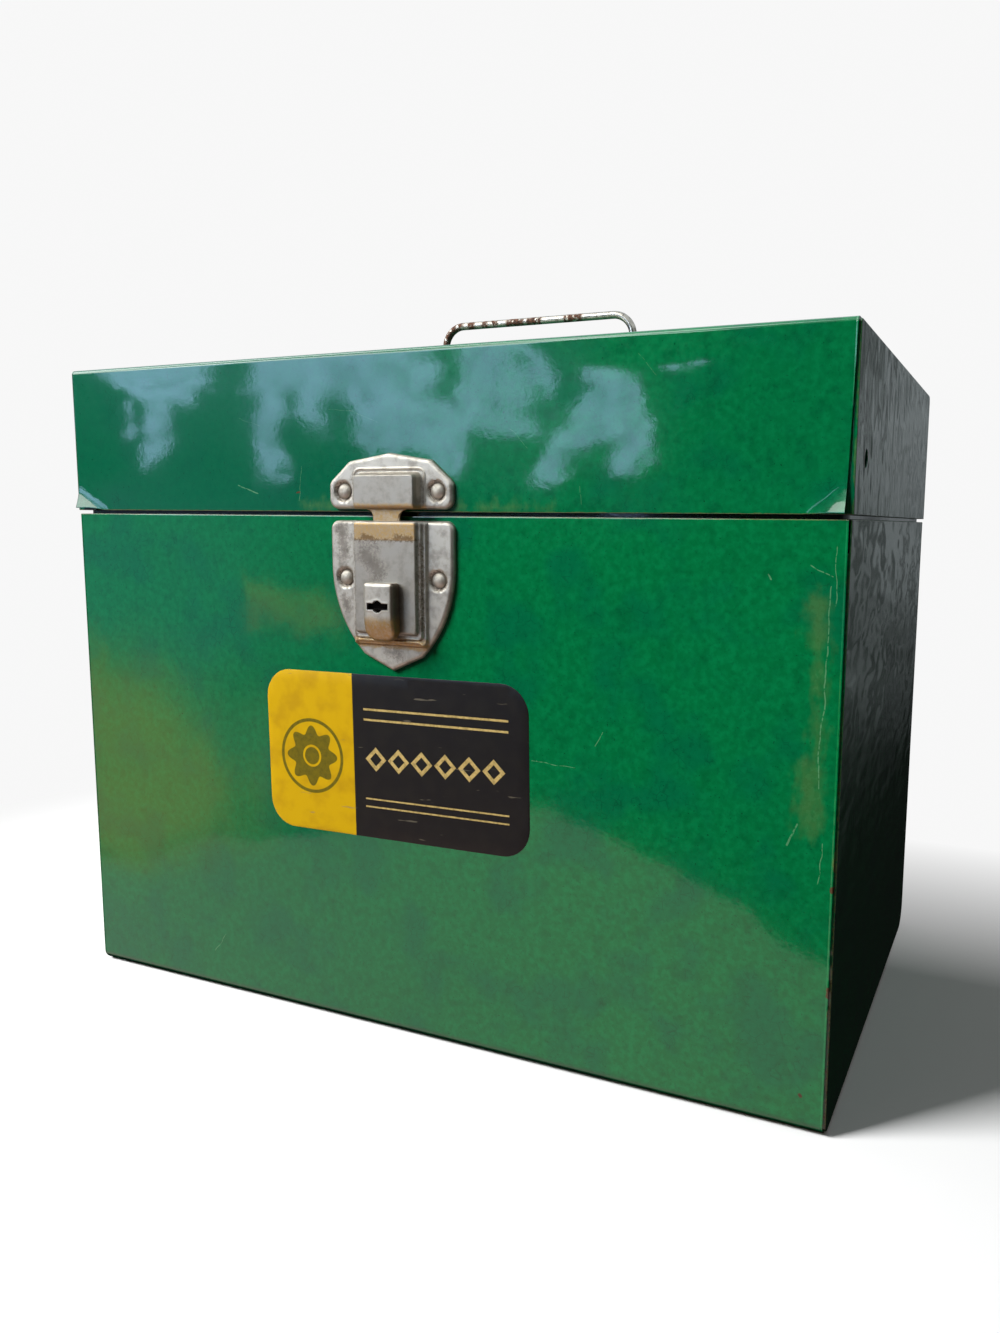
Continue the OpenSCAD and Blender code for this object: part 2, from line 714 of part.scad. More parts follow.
// Handle
wire_r = wire_d / 2;
pivot_z = lid_top + bail_gap + wire_r;
leg_x = bail_w / 2;
clip_x = leg_x + foot_bend_r + 0.4;
clip_in_r = wire_r + clip_fit;
clip_out_r = clip_in_r + clip_t;
foot_len = clip_w + 2;
clip_rivet_y = clip_out_r + clip_tab / 2;
clip_rivet_places = [for (sx = [-1, 1], sy = [-1, 1])
    [handle_x + sx * (clip_x + clip_w / 2), handle_y + sy * clip_rivet_y]];

// A quarter bend of the wire in the X and Z plane, about c, from angle a on
module wire_bend(c, r, a) {
    translate([c.x, 0, c.y]) rotate([90, 0, 0])
        rotate_extrude(angle = 90, start = a) translate([r, 0]) circle(wire_r);
}

module half_bail() {
    top_z = bail_h - bail_bend_r;
    translate([0, 0, bail_h]) rotate([0, 90, 0]) cylinder(r = wire_r, h = leg_x - bail_bend_r);
    wire_bend([leg_x - bail_bend_r, top_z], bail_bend_r, 0);
    translate([leg_x, 0, foot_bend_r]) cylinder(r = wire_r, h = top_z - foot_bend_r);
    wire_bend([leg_x + foot_bend_r, foot_bend_r], foot_bend_r, 180);
    translate([leg_x + foot_bend_r, 0, 0]) rotate([0, 90, 0]) cylinder(r = wire_r, h = foot_len);
}

module handle_wire() {
    color(nickel) translate([handle_x, handle_y, pivot_z]) {
        half_bail();
        mirror([1, 0, 0]) half_bail();
    }
}

// A strap over the foot of the bail on the +X side, with a riveted tab on each side
module clip() {
    color(nickel) difference() {
        translate([clip_x, 0, 0]) {
            translate([0, 0, pivot_z]) rotate([90, 0, 90])
                rotate_extrude(angle = 180) translate([clip_in_r, 0]) square([clip_t, clip_w]);
            for (s = [-1, 1]) {
                translate([0, s * (clip_in_r + clip_t / 2) - clip_t / 2, lid_top])
                    cube([clip_w, clip_t, pivot_z - lid_top]);
                translate([0, s * (clip_in_r + (clip_t + clip_tab) / 2) - (clip_t + clip_tab) / 2, lid_top])
                    cube([clip_w, clip_t + clip_tab, clip_t]);
            }
        }
        for (s = [-1, 1])
            translate([clip_x + clip_w / 2, s * clip_rivet_y, lid_top - over])
                cylinder(r = shank_r + lap_fit, h = clip_t + 2 * over);
    }
}

module handle_clip_left() { translate([handle_x, handle_y, 0]) mirror([1, 0, 0]) clip(); }
module handle_clip_right() { translate([handle_x, handle_y, 0]) clip(); }

module handle_clip_rivets() {
    for (p = clip_rivet_places)
        color(nickel) translate([p.x, p.y, lid_top + clip_t])
            rivet(rivet_head_r, rivet_head_h, clip_t + sheet_t);
}

body_wrap();
body_end_left();
body_end_right();
body_collar();
label();
latch_plate();
latch_plate_rivets();
latch_inner_plate();
thumb_slide();
slide_core();
latch_bolt();
bolt_spring();
key_cam();
hinge_left_body_leaf();
hinge_right_body_leaf();
hinge_left_pin();
hinge_right_pin();
hinge_body_rivets();
lid_wrap();
lid_end_left();
lid_end_right();
hinge_left_lid_leaf();
hinge_right_lid_leaf();
hinge_lid_rivets();
hasp_plate();
hasp_tongue();
hasp_rivets();
handle_clip_left();
handle_clip_right();
handle_clip_rivets();
handle_wire();
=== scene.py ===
# Dresses the steel deed box: camera, light, finishes and every piece that shows.
# Sizes are in mm unless a name says otherwise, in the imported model's own frame.
import math
from functools import reduce

import bmesh
import bpy
import numpy as np
from mathutils import Matrix, Vector
from mathutils.geometry import delaunay_2d_cdt, tessellate_polygon


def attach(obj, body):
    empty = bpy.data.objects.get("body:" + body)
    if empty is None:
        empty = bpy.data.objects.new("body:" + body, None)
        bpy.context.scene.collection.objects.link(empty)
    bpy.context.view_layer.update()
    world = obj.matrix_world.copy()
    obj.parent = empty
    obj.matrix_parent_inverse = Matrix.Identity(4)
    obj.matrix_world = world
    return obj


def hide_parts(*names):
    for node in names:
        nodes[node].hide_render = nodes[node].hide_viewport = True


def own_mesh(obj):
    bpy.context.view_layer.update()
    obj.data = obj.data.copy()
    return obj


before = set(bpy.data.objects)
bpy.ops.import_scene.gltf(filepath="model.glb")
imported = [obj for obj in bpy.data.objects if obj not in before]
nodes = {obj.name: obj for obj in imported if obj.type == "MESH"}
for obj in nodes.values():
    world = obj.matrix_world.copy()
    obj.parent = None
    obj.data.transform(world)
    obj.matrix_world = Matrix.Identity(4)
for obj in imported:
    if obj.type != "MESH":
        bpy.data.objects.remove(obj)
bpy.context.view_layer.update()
scene = bpy.context.scene
mm = 0.001
print("frame loaded:", len(nodes), "nodes")

# sizes that several pieces share
box = {
    "halfWidth": 158.75,
    "frontY": -98.5,
    "backY": 98.5,
    "seamZ": 196.0,
    "sheet": 0.6,
    "endReveal": 0.9,
    "lidHalfWidth": 159.15,
    "lidFrontY": -98.9,
    "lidBackY": 98.9,
    "lidZ": 197.4,
    "lidTop": 254.0,
}
latchX = -2.2

# camera
view = {
    "place": (209.32, -405.18, 194.49),
    "turnLeft": 23.896,
    "lookDown": 7.643,
    "roll": 0.573,
    "lens": 27.43,
    "sensor": 36,
    "shiftX": -0.0637,
    "shiftY": -0.0061,
}


def makeCamera():
    turn, down, roll = (math.radians(view[k]) for k in ("turnLeft", "lookDown", "roll"))
    ahead = Vector((-math.sin(turn), math.cos(turn), 0))
    right = Vector((math.cos(turn), math.sin(turn), 0))
    look = ahead * math.cos(down) - Vector((0, 0, 1)) * math.sin(down)
    level = Vector((0, 0, 1)) * math.cos(down) + ahead * math.sin(down)
    side = right * math.cos(roll) + level * math.sin(roll)
    up = level * math.cos(roll) - right * math.sin(roll)
    data = bpy.data.cameras.new("photoCamera")
    data.lens, data.sensor_width = view["lens"], view["sensor"]
    data.shift_x, data.shift_y = view["shiftX"], view["shiftY"]
    data.clip_start, data.clip_end = 0.01, 50
    camera = bpy.data.objects.new("photoCamera", data)
    camera.matrix_world = Matrix((
        (side.x, up.x, -look.x, view["place"][0] * mm),
        (side.y, up.y, -look.y, view["place"][1] * mm),
        (side.z, up.z, -look.z, view["place"][2] * mm),
        (0, 0, 0, 1),
    ))
    scene.collection.objects.link(camera)
    scene.camera = camera


makeCamera()
scene.view_settings.view_transform = "Standard"

# helpers for node trees
now = {"tree": None}  # the node tree being built


def openTree(owner):
    owner.use_nodes = True
    now["tree"] = owner.node_tree
    now["tree"].nodes.clear()


def feed(value, socket):
    if isinstance(value, bpy.types.NodeSocket):
        now["tree"].links.new(value, socket)
    else:
        socket.default_value = value


def feedAll(node, sockets):
    for key, value in sockets.items():
        feed(value, node.inputs[key])


def put(kind, sockets=None, **settings):
    node = now["tree"].nodes.new(kind)
    for key, value in settings.items():
        setattr(node, key, value)
    feedAll(node, sockets or {})
    return node


def made(kind, sockets=None, **settings):
    return put(kind, sockets, **settings).outputs[0]


def calc(how, *values, clamp=False):
    return made("ShaderNodeMath", dict(enumerate(values)), operation=how, use_clamp=clamp)


def plus(a, b):
    return calc("ADD", a, b)


def minus(a, b):
    return calc("SUBTRACT", a, b)


def times(*values):
    return reduce(lambda a, b: calc("MULTIPLY", a, b), values)


def most(*values):
    return reduce(lambda a, b: calc("MAXIMUM", a, b), values)


def scaled(value, by, more):
    return calc("MULTIPLY_ADD", value, by, more)


def swayed(noise, by, value):
    # value pushed to and fro by a noise around 0.5
    return scaled(minus(noise, 0.5), by, value)


def ease(value, low, high):
    # 0 below low and 1 above high, or the other way round where low is the larger
    return made("ShaderNodeMapRange", {0: value, 1: low, 2: high}, interpolation_type="SMOOTHSTEP")


def within(value, low, high, soft):
    return times(ease(value, low - soft, low + soft), ease(value, high + soft, high - soft))


def grain(where, size, stretch=(1, 1, 1), detail=2.0, rough=0.5, seed=0.0, warp=0.0):
    # noise whose features are about size mm, drawn out by stretch
    share = [1 / (size * s) for s in stretch]
    place = made("ShaderNodeMapping", {"Vector": where, "Location": (seed, seed * 0.7, -seed), "Scale": share})
    return made("ShaderNodeTexNoise", {
        "Vector": place, "Scale": 1.0, "Detail": detail, "Roughness": rough, "Distortion": warp})


def mixed(share, a, b):
    return put("ShaderNodeMix", {0: share, 6: a, 7: b}, data_type="RGBA").outputs[2]


def between(share, a, b):
    return made("ShaderNodeMix", {0: share, 2: a, 3: b})


def tint(red, green, blue):
    # a colour as a picture editor shows it, 0 to 255
    def linear(c):
        c /= 255
        return c / 12.92 if c <= 0.04045 else ((c + 0.055) / 1.055) ** 2.4
    return (linear(red), linear(green), linear(blue), 1.0)


def joined(x, y, z=0.0):
    return made("ShaderNodeCombineXYZ", {0: x, 1: y, 2: z})


def vectorOf(how, *values):
    return put("ShaderNodeVectorMath", dict(enumerate(values)), operation=how).outputs


def stretched(vector, by):
    return made("ShaderNodeVectorMath", {0: vector, 3: by}, operation="SCALE")


def places():
    # object coordinates in mm, and each of them alone
    where = stretched(put("ShaderNodeTexCoord").outputs["Object"], 1 / mm)
    return where, *put("ShaderNodeSeparateXYZ", {0: where}).outputs


def newFinish(name):
    finish = bpy.data.materials.new(name)
    openTree(finish)
    shader = put("ShaderNodeBsdfPrincipled")
    put("ShaderNodeOutputMaterial", {0: shader.outputs[0]})
    return finish, shader


def bumped(height, distance, strength=1.0, under=None):
    sockets = {"Height": height, "Distance": distance * mm, "Strength": strength}
    if under is not None:
        sockets["Normal"] = under
    return made("ShaderNodeBump", sockets)


def field(place, strokes, blend=0.0):
    # distance in mm to the nearest stroke; each is x and z of both ends and the half width
    def reachOf(ax, az, bx, bz, half):
        run = (bx - ax, bz - az, 0)
        square = run[0] ** 2 + run[1] ** 2
        start = vectorOf("SUBTRACT", place, (ax, az, 0))[0]
        share = vectorOf("DOT_PRODUCT", start, tuple(c / square for c in run))[1]
        share = calc("MULTIPLY", share, 1.0, clamp=True)
        return minus(vectorOf("DISTANCE", start, stretched(run, share))[1], half)

    def nearer(a, b):
        return calc("SMOOTH_MIN", a, b, blend) if blend else calc("MINIMUM", a, b)

    return reduce(nearer, [reachOf(*stroke) for stroke in strokes])


# light
white = (1, 1, 1, 1)
light = {
    "dome": 0.27,
    "fill": 0.035,
    "backdrop": 0.935,
    "softboxPlace": (-1.13, -1.03, 1.35),
    "softboxAim": (0.0, 0.0, 0.1),
    "softboxSize": 0.7,
    "softboxPower": 76.0,
    "sheenSize": 1.7,
    "sheenPower": 48.0,
    "floorColour": (0.8, 0.8, 0.8, 1),
    "floorHalf": 12.0,
    "floorDrop": 0.0002,
}
# what the glossy enamel mirrors; strokes are places on the front in mm, as field takes them
mirrored = {
    "frontAway": 306.7,  # from the camera to the front's plane
    "endAway": 50.6,  # and to the right end's
    "trees": (0.02, 0.035, 0.03, 1),
    "haze": (0.28, 0.36, 0.62, 1),
    "sky": (2.7, 4.0, 6.2, 1),
    "openSky": (0.9, 1.0, 1.1, 1),
    "window": (7.4, 8.4, 9.0, 1),
    "mist": (0.62, 0.48, 0.42, 1),
    "smear": (1.3, 0.75, 0.2, 1),
    "paleGround": (0.78, 0.6, 0.56, 1),
    "lawn": (1.15, 0.68, 0.14, 1),
    "yardDark": (0.004, 0.004, 0.004, 1),
    "yard": (0.235, 0.262, 0.27, 1),
    "overhead": (0.95, 1.05, 1.15, 1),
    "skyStrokes": (
        (-130, 272, -96, 274, 20), (-124, 250, -94, 251, 11), (-108, 242, -112, 218, 7), (-133, 234, -131, 228, 3),
        (-50, 274, 36, 274, 21), (-46, 250, 36, 249, 12), (-57, 250, -56, 214, 7), (-40, 240, -33, 228, 4),
        (-2, 232, 22, 228, 15), (40, 248, 41, 234, 9), (77, 240, 69, 226, 10), (64, 222, 60, 212, 7),
        (84, 230, 88, 208, 9), (104, 244, 112, 246, 3)),
    "boughStrokes": ((20, 250, 22, 243, 6), (-44, 222, -44, 190, 7), (-20, 228, -18, 208, 5), (72, 208, 73, 190, 9)),
    "lawnStrokes": ((-172, 118, -132, 104, 26), (-150, 72, -104, 84, 30), (-110, 84, -80, 84, 16)),
    "smearStrokes": ((-72, 163, -30, 157, 6),),
    "mistStrokes": ((-120, 120, -66, 108, 26),),
    "windowStrokes": ((106, 304, 48, 372, 15), (-128, 312, -70, 430, 20)),
}


def mirrorPlace(across, towards, away, axis):
    # where a plane mirrors a direction, along one of its own axes
    return scaled(calc("DIVIDE", across, towards), away, view["place"][axis])


def frontMirror(dx, dy, dz):
    # sky between trees with dark boughs before it, then lawn and pale ground
    ahead = calc("MAXIMUM", times(dy, -1.0), 0.02)
    faceX = mirrorPlace(dx, ahead, mirrored["frontAway"], 0)
    faceZ = mirrorPlace(dz, ahead, mirrored["frontAway"], 2)
    plain = joined(faceX, faceZ)
    ragged = put("ShaderNodeTexNoise", {"Vector": plain, "Scale": 0.06, "Detail": 4.0, "Roughness": 0.6}).outputs
    sway = stretched(vectorOf("SUBTRACT", ragged[1], (0.5, 0.5, 0.5))[0], 20.0)
    face = vectorOf("ADD", plain, sway)[0]
    leaves = made("ShaderNodeTexNoise", {"Vector": plain, "Scale": 0.1, "Detail": 5.0, "Roughness": 0.62})
    nibble = times(minus(leaves, 0.5), 26.0)

    def patch(place, strokes, low, high, blend=0.0):
        return ease(plus(field(place, mirrored[strokes], blend), nibble), low, high)

    boughs = ease(minus(field(face, mirrored["boughStrokes"], 4.0), nibble), 3.0, -3.0)
    shade = between(ease(leaves, 0.62, 0.4), 0.62, 1.0)
    sky = times(patch(face, "skyStrokes", 2.4, -2.2, 6.0), minus(1.0, boughs), ease(faceZ, 200.0, 206.0), shade)
    haze = times(ease(faceX, 10.0, -110.0), ease(faceZ, 120.0, 150.0), between(ease(faceZ, 215.0, 190.0), 0.1, 1.0))
    mist = ease(field(face, mirrored["mistStrokes"]), 16.0, -22.0)
    # the pale ground lies under an edge that climbs to the middle and falls again
    edge = calc("MINIMUM", scaled(faceX, 0.235, 82.5), scaled(faceX, -0.395, 120.5))
    edge = swayed(ragged[0], 8.0, minus(faceZ, edge))
    layers = (
        ("haze", times(haze, 0.75)),
        ("sky", sky),
        ("openSky", ease(faceZ, 285.0, 420.0)),  # over the trees
        ("window", patch(plain, "windowStrokes", 6.0, -6.0)),  # bright gaps that light the lid's bent corners
        ("mist", times(mist, 0.7)),
        ("smear", times(patch(face, "smearStrokes", 6.0, -6.0), 0.7)),
        ("paleGround", ease(edge, 1.2, -1.2)),
        ("lawn", times(patch(face, "lawnStrokes", 16.0, -20.0, 12.0), ease(faceZ, 40.0, 46.0))),
    )
    front = mirrored["trees"]
    for name, share in layers:
        front = mixed(share, front, mirrored[name])
    return front


def endMirror(dx, dy, dz):
    # a dull grey yard with dark courses, black below it and sky overhead
    beside = calc("MAXIMUM", dx, 0.02)
    endZ = mirrorPlace(dz, beside, mirrored["endAway"], 2)
    end = joined(mirrorPlace(dy, beside, mirrored["endAway"], 1), endZ)
    stems = grain(end, 30.0, (1.5, 1.3, 1), detail=3.0, rough=0.55, seed=8.0, warp=0.8)
    level = swayed(grain(end, 60.0, detail=1.0, seed=14.0), 60.0, endZ)
    yard = times(between(ease(stems, 0.42, 0.56), 0.2, 1.0), ease(level, 85.0, 235.0))
    room = mixed(yard, mirrored["yardDark"], mirrored["yard"])
    return mixed(ease(dz, 0.2, 0.75), room, mirrored["overhead"])


def makeWorld():
    scene.world = bpy.data.worlds.new("studio")
    openTree(scene.world)
    way = put("ShaderNodeSeparateXYZ", {0: put("ShaderNodeTexCoord").outputs["Generated"]}).outputs
    mirror = mixed(ease(way[1], -0.05, -0.3), endMirror(*way), frontMirror(*way))
    dome = between(ease(way[2], 0.25, 0.95), light["fill"], light["dome"])
    path = put("ShaderNodeLightPath").outputs
    plain = made("ShaderNodeBackground", {0: white, 1: dome})
    glossy = made("ShaderNodeBackground", {0: mirror, 1: 1.0})
    backdrop = made("ShaderNodeBackground", {0: white, 1: light["backdrop"]})
    seen = made("ShaderNodeMixShader", {0: path["Is Glossy Ray"], 1: plain, 2: glossy})
    seen = made("ShaderNodeMixShader", {0: path["Is Camera Ray"], 1: seen, 2: backdrop})
    put("ShaderNodeOutputWorld", {0: seen})


def makeFloor():
    # matt and white near the box, and fading into the backdrop for the camera alone
    finish = bpy.data.materials.new("floorWhite")
    openTree(finish)
    where, x, y, z = places()
    matt = made("ShaderNodeBsdfDiffuse", {0: light["floorColour"]})
    glow = made("ShaderNodeEmission", {0: white, 1: light["backdrop"]})
    far = ease(vectorOf("LENGTH", where)[1], 250.0, 430.0)
    behind = calc("DIVIDE", minus(y, 40.0), 200.0, clamp=True)
    share = times(most(far, behind), put("ShaderNodeLightPath").outputs["Is Camera Ray"])
    put("ShaderNodeOutputMaterial", {0: made("ShaderNodeMixShader", {0: share, 1: matt, 2: glow})})
    mesh = bpy.data.meshes.new("floor")
    half = light["floorHalf"]
    mesh.from_pydata([(-half, -half, 0), (half, -half, 0), (half, half, 0), (-half, half, 0)], [], [(0, 1, 2, 3)])
    mesh.materials.append(finish)
    floor = bpy.data.objects.new("floor", mesh)
    scene.collection.objects.link(floor)
    floor.visible_glossy = False
    floor.visible_diffuse = False
    floor.location.z = -light["floorDrop"]


def makeLamp(name, size, power):
    data = bpy.data.lights.new(name, "AREA")
    data.shape, data.size, data.energy = "SQUARE", size, power
    lamp = bpy.data.objects.new(name, data)
    lamp.location = light["softboxPlace"]
    aim = Vector(light["softboxAim"]) - Vector(light["softboxPlace"])
    lamp.rotation_mode = "QUATERNION"
    lamp.rotation_quaternion = aim.to_track_quat("-Z", "Y")
    scene.collection.objects.link(lamp)
    return lamp


makeWorld()
makeFloor()
# the light itself, and a broader face in the same place for what is mirrored
makeLamp("softbox", light["softboxSize"], light["softboxPower"]).visible_glossy = False
makeLamp("softboxSheen", light["sheenSize"], light["sheenPower"]).visible_diffuse = False
print("light and floor made")

# finishes
enamel = {
    "deep": tint(0, 106, 55),
    "light": tint(2, 120, 66),
    "dark": tint(0, 76, 42),
    "blue": tint(0, 96, 64),
    # painted shade: the tone the enamel is darkened towards on the left
    "shade": tint(0, 82, 58),
    "flecks": tint(4, 52, 32),
    # painted shade: near black for the collar, seen only through the seam
    "inside": tint(8, 14, 11),
    "worn": tint(118, 112, 62),
    "rust": tint(72, 50, 28),
    "film": tint(76, 118, 62),
    "scratch": tint(112, 168, 124),
}
# the coat of each half, and its marks: x and z of both ends and the half width, read off the real box in mm
bodyCoat = {
    "clouding": 0.28,
    "leftPaintedShade": (0.0, 0.34),
    "crazeScale": 0.3,
    "crazing": 0.3,
    "rippleStretch": (1, 1.7, 0.6),
    "rippleDeep": 0.3,
    "films": ((150, 170, 150.2, 160, 3.5), (149.4, 121, 150.2, 102, 3.5), (151, 158, 151, 124, 1.2)),
    "scratches": (
        (153.5, 176, 153.3, 158, 0.16), (153.3, 158, 152.9, 139, 0.2), (152.9, 139, 151.6, 126, 0.2),
        (151.6, 126, 152.4, 114, 0.2), (143.4, 95, 145.8, 102, 0.3), (153.1, 84, 154.2, 97, 0.16),
        (147, 182.4, 153.8, 179, 0.16), (154.6, 188, 155.2, 170, 0.14), (77.5, 119.6, 80.2, 125, 0.14),
        (134.2, 179, 135, 177.5, 0.2), (53.5, 112.7, 70.2, 111.7, 0.12), (-87.5, 24, -93.8, 16, 0.12)),
    "pits": ((150.4, 13, 150.4, 13.1, 0.8), (157.9, 82, 157.9, 83, 0.9), (157.7, 48, 157.7, 50, 0.8)),
}
lidCoat = {
    "clouding": 0.42,
    "leftPaintedShade": (0.15, 0.8),
    "crazeScale": 0.5,
    "crazing": 0.4,
    "rippleStretch": (1, 0.9, 1.3),
    "rippleDeep": 0.34,
    "films": ((-40, 199.4, 60, 199.2, 0.4),),
    "scratches": (
        (-72, 207, -63, 204, 0.2), (-42, 214, -43, 201, 0.08), (-29, 234, -18, 233, 0.05), (-18, 233, -8, 229, 0.05),
        (45, 225, 52, 219, 0.05), (91, 247, 97, 240, 0.04), (-71, 232, -61, 229, 0.03), (71, 206, 71.5, 200, 0.05)),
    "pits": ((-44, 204, -43, 204, 0.4),),
}


def makeEnamel(name, coat, halfWidth, frontY, inner=False):
    finish, shader = newFinish(name)
    where, x, y, z = places()
    corner = minus(halfWidth, calc("ABSOLUTE", x))
    fine = grain(where, 2.6, detail=4.0, rough=0.62)
    wide = grain(where, 22.0, detail=3.0, seed=3.0)
    dabs = grain(where, 1.5, rough=0.6, seed=9.0)
    rag = grain(where, 4.0, (1, 1, 2.0), detail=3.0, rough=0.6, seed=5.0)
    cloudy = grain(where, 7.0, detail=4.0, rough=0.6, seed=13.0)
    colour = mixed(ease(fine, 0.35, 0.7), enamel["deep"], enamel["light"])
    colour = mixed(times(ease(wide, 0.46, 0.68), 0.6), colour, enamel["blue"])
    colour = mixed(times(ease(cloudy, 0.5, 0.68), coat["clouding"]), colour, enamel["dark"])
    colour = mixed(times(ease(dabs, 0.54, 0.74), 0.34), colour, enamel["dark"])
    if not inner:
        # painted shade: the enamel is darkened towards the left end
        colour = mixed(between(ease(x, 110.0, -60.0), *coat["leftPaintedShade"]), colour, enamel["shade"])
    # fine crazing and dark specks
    crazes = made("ShaderNodeTexVoronoi", {"Vector": where, "Scale": coat["crazeScale"]}, feature="DISTANCE_TO_EDGE")
    hair = times(ease(crazes, 0.06, 0.02), ease(wide, 0.5, 0.62), ease(rag, 0.45, 0.6))
    specks = ease(grain(where, 0.8, detail=1.0, seed=17.0), 0.72, 0.78)
    colour = mixed(most(times(hair, coat["crazing"]), times(specks, 0.7)), colour, enamel["flecks"])
    gloss = between(ease(fine, 0.3, 0.75), 0.12, 0.2)
    if inner:
        # painted shade: the collar is made almost black so that the seam reads dark
        colour = mixed(0.8, colour, enamel["inside"])
    else:
        # worn edges: the vertical ones more towards the foot, the seam and the foot only as a hair line
        fray = grain(where, 1.3, detail=3.0, rough=0.7, seed=25.0)
        depth = minus(y, frontY)
        reach = between(rag, -1.6, 2.0)
        low = between(ease(z, 130.0, 50.0), 0.25, 0.9)
        nearCorner = times(ease(corner, plus(reach, 0.5), reach), ease(depth, 2.2, 0.6), low)
        seam = minus(box["seamZ"], z) if coat is bodyCoat else minus(z, box["lidZ"])
        seamReach = between(rag, -0.15, 0.55)
        rubbed = most(nearCorner, times(ease(seam, plus(seamReach, 0.15), seamReach), 0.5))
        if coat is bodyCoat:
            rubbed = most(rubbed, times(ease(z, 1.5, 0.6), between(ease(x, 60.0, 130.0), 0.3, 0.8)))
        colour = mixed(times(rubbed, ease(fray, 0.3, 0.5)), colour, enamel["worn"])
        colour = mixed(times(rubbed, ease(fray, 0.52, 0.62)), colour, enamel["rust"])
        gloss = plus(gloss, times(rubbed, 0.35))
        # films, scratches and pits on the front
        ahead = ease(depth, 3.0, 1.0)
        bend = put("ShaderNodeTexNoise", {"Vector": where, "Scale": 0.12, "Detail": 2.0}).outputs[1]
        bend = vectorOf("SUBTRACT", bend, (0.5, 0.5, 0.5))[0]
        spot = vectorOf("MULTIPLY_ADD", bend, (2.4, 2.4, 0), joined(x, z))[0]
        film = swayed(rag, -14.0, field(spot, coat["films"], 2.0))
        film = times(ease(film, 3.0, -4.5), ahead, 0.55)
        colour = mixed(film, colour, enamel["film"])
        line = times(ease(field(spot, coat["scratches"]), 0.08, -0.1), ahead, ease(fray, 0.36, 0.5), 0.5)
        colour = mixed(line, colour, enamel["scratch"])
        pit = times(ease(scaled(fray, 1.2, field(spot, coat["pits"])), 0.7, 0.3), ahead)
        colour = mixed(pit, colour, enamel["rust"])
        gloss = plus(gloss, times(most(film, line, pit), 0.25))
    # the ends are lumpier than the front: swirls on the lid's, low broad ripples on the body's
    onEnd = ease(corner, 1.6, 1.2)
    peel = grain(where, 2.2, detail=3.0, rough=0.6, seed=31.0)
    waves = grain(where, 30.0, detail=1.0, seed=37.0)
    ripples = grain(where, 14.0, coat["rippleStretch"], detail=1.0, seed=41.0, warp=0.2)
    bump = bumped(times(peel, between(onEnd, 1.0, 0.15)), 0.007)
    bump = bumped(waves, 0.06, under=bump)
    bump = bumped(times(ripples, onEnd), coat["rippleDeep"], under=bump)
    feedAll(shader, {
        "Base Color": colour, "Roughness": gloss, "Normal": bump, "IOR": 1.5, "Specular IOR Level": 0.12,
        "Coat Weight": 1.0, "Coat Roughness": 0.04, "Coat Normal": bump})
    return finish


metal = {
    "nickel": tint(182, 175, 162),
    # a darker nickel for the mottling, also used as painted shade on the proudest faces
    "dull": tint(130, 124, 114),
    "brass": tint(170, 137, 86),
    "brown": tint(78, 57, 38),
    "tarnish": tint(104, 98, 93),
}
# stains on the latch: x from its middle line and z of both ends, and the half width
latchStains = {
    "tarnish": (
        (-7.9, 182, -2.6, 176.5, 3.2), (-9.5, 184.8, -3.2, 185, 1.2), (-20.8, 191, -20, 182, 2.6),
        (-20.6, 167, -19.4, 163, 1.6), (-1.8, 147.4, 2.9, 146.4, 1.8)),
    "brown": (
        (-13.6, 154, -13.8, 151, 0.5), (-13.4, 190, -13.5, 154, 0.12), (-15.3, 211, -15.2, 202, 0.1),
        (13.9, 186, 14.2, 156, 0.45), (-19.7, 173.5, -19.7, 173.6, 3.4), (19.7, 173.5, 19.7, 173.6, 3.4),
        (-19.7, 204.6, -19.7, 204.7, 3.4), (19.7, 204.6, 19.7, 204.7, 3.4)),
    "bandFoot": ((-12.6, 187.5, 12.8, 187.5, 0.35), (-9, 188.6, -5, 187.8, 1.0), (5, 188.6, 11, 188, 0.9)),
}


